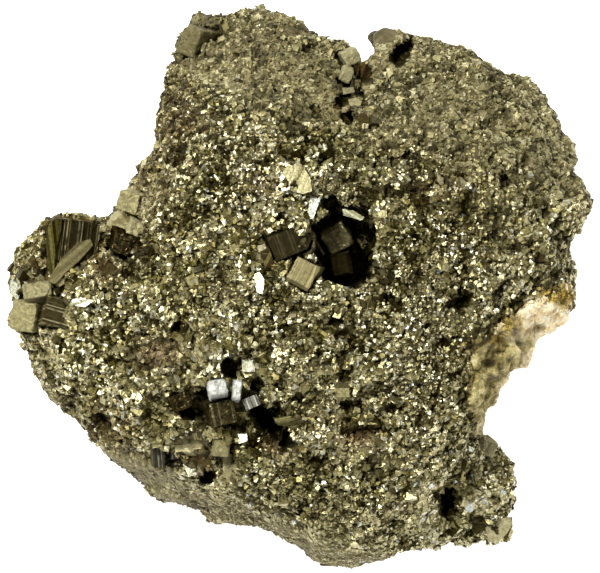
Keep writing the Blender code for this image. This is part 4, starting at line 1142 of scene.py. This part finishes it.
CRUST = [(548, 294, 20, 7, 1.0), (531, 301, 8, 6, 0.7), (563, 290, 7, 6, 0.8), (510, 312, 10, 4, 0.6), (492, 326, 10, 5, 0.5)]
q, m = get_co(skin.data), get_no(skin.data)
rng = np.random.default_rng(71)
pick = np.flatnonzero((blobs(q, CRUST) + 0.25 * noise(q, 1.6, 72) > 0.52) & (q[:, 2] > 10) & (m[:, 2] > -0.2))
q, m = q[pick], m[pick]
near = []      # seam points close to the pyrite, but open to the outside
for k in np.flatnonzero(n[:, 2] > -0.3):
    here, out = Vector(p[k] * MM), Vector(n[k])
    if tree.find_nearest(here, 0.0008)[0] and not tree.ray_cast(here + out * 0.00005, out, 0.003)[0]:
        near.append(k)
q, m = np.vstack([q, p[near]]), np.vstack([m, n[near]])
pick = sample(q, 0.32, rng)
q, m, count = q[pick], m[pick], len(pick)
verts, loops, totals, own = grow(
    q + m * rng.normal(0.16, 0.10, (count, 1)), 0.46 * np.exp(rng.normal(0, 0.3, (count, 3))),
    turned(rng.normal(size=(count, 4))), rng.choice(4, count),
    seam_shades(q, 0.75 * rng.random(count) ** 1.5 + 0.55 * smooth(plan_of(q)[1], 318, 345)), rng, 0.14)
crust = link("limonite_crust", flat_mesh("limonite_crust", verts, loops, totals))
for key, x in own.items():
    attribute(crust.data, key, x)
crust.data.materials.append(QUARTZ)
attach(crust, "root")

# pyrite grains over the sides and lower ends of the seam, in a ragged band
ragged = 0.0034 * np.clip(noise(p, 4.0, 74) + 0.6 * noise(p, 1.8, 75), 0, 1) * smooth(-p[:, 2], -30, -22)
over = []
for k in np.flatnonzero((n[:, 2] > -0.3) & (ragged > 0.0004) & (plan_of(p)[1] < 390)):
    here, out = Vector(p[k] * MM), Vector(n[k])
    if tree.find_nearest(here, float(ragged[k]))[0] and not tree.ray_cast(here + out * 0.00005, out, 0.003)[0]:
        over.append(k)
q, m = p[over], n[over]
pick = sample(q, 0.50, rng)
q, m, count = q[pick], m[pick], len(pick)
verts, loops, totals, own = grow(
    q + m * rng.normal(0.10, 0.14, (count, 1)), 0.74 * np.exp(rng.normal(0, 0.3, (count, 3))),
    turned(rng.normal(size=(count, 4))), rng.choice(4, count),
    {"tone": np.clip(rng.normal(0.40, 0.16, count), 0, 1), "tint": np.clip(rng.normal(0.40, 0.16, count), 0, 0.8),
     "dull": np.clip(rng.normal(0.6, 0.2, count), 0, 1), "rust": np.clip(rng.normal(0.25, 0.3, count), 0, 1)}, rng, 0.14)
border = link("grains_seam_border", flat_mesh("grains_seam_border", verts, loops, totals))
for key, x in own.items():
    attribute(border.data, key, x)
border.data.materials.append(GRAINS)
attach(border, "root")
decimate(seam, 0.55)
seam.data.materials.clear()
seam.data.materials.append(QUARTZ)
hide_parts("quartz_seam")
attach(seam, "root")

# ------------------------------------------------------------------ stage, light, camera
floor_mesh = bpy.data.meshes.new("floor")
bm = bmesh.new()
bmesh.ops.create_grid(bm, x_segments=1, y_segments=1, size=12.0)
bm.to_mesh(floor_mesh)
bm.free()
floor = link("floor", floor_mesh)
floor.location.z = -0.00005
m = Nodes("floor")
m.shader.inputs["Base Color"].default_value = (0.90, 0.90, 0.89, 1)
m.shader.inputs["Roughness"].default_value = 0.9
m.shader.inputs["Emission Color"].default_value = (1, 1, 1, 1)
m.shader.inputs["Emission Strength"].default_value = 0.78
floor.data.materials.append(m.material)

world = bpy.data.worlds.new("studio")
bpy.context.scene.world = world
world.use_nodes = True
back = world.node_tree.nodes["Background"]
back.inputs["Color"].default_value = (1.0, 0.97, 0.90, 1)
back.inputs["Strength"].default_value = 0.07


def lamp(name, direction, distance, size, power, colour):
    light = bpy.data.lights.new(name, "AREA")
    light.shape = "DISK"
    light.size = size
    light.energy = power
    light.color = colour
    obj = link(name, light)
    d = Vector(direction).normalized()
    obj.location = d * distance + Vector((0, 0, 0.02))
    obj.rotation_mode = "QUATERNION"
    obj.rotation_quaternion = (-d).to_track_quat("-Z", "Y")
    obj.visible_camera = False
    return obj


lamp("key", tuple(KEY), 1.2, 0.28, 22.4, (1.0, 0.99, 0.95))
lamp("sky_left", (-0.75, 0.35, 0.42), 1.6, 1.2, 4.2, (1.0, 0.99, 0.96))
lamp("sky_top", (0.15, 0.80, 0.50), 1.6, 1.0, 2.2, (1.0, 0.99, 0.96))
lamp("sky_right", (0.80, -0.25, 0.45), 1.6, 1.2, 10.0, (1.0, 0.99, 0.96))
lamp("sky_low", (0.05, -0.85, 0.48), 1.6, 1.2, 9.0, (1.0, 0.99, 0.96))

camera_data = bpy.data.cameras.new("camera")
camera = link("camera", camera_data)
DISTANCE, MID = 2.0, 0.026
camera_data.sensor_width = 36.0
camera_data.lens = 36.0 * (DISTANCE - MID) / (600 * UNIT * MM)
camera.location = (SHIFT[0] * MM, (SHIFT[1] - 1.0 * UNIT) * MM, DISTANCE)
camera_data.clip_start, camera_data.clip_end = 0.05, 50.0
bpy.context.scene.camera = camera
bpy.context.scene.view_settings.view_transform = "Standard"
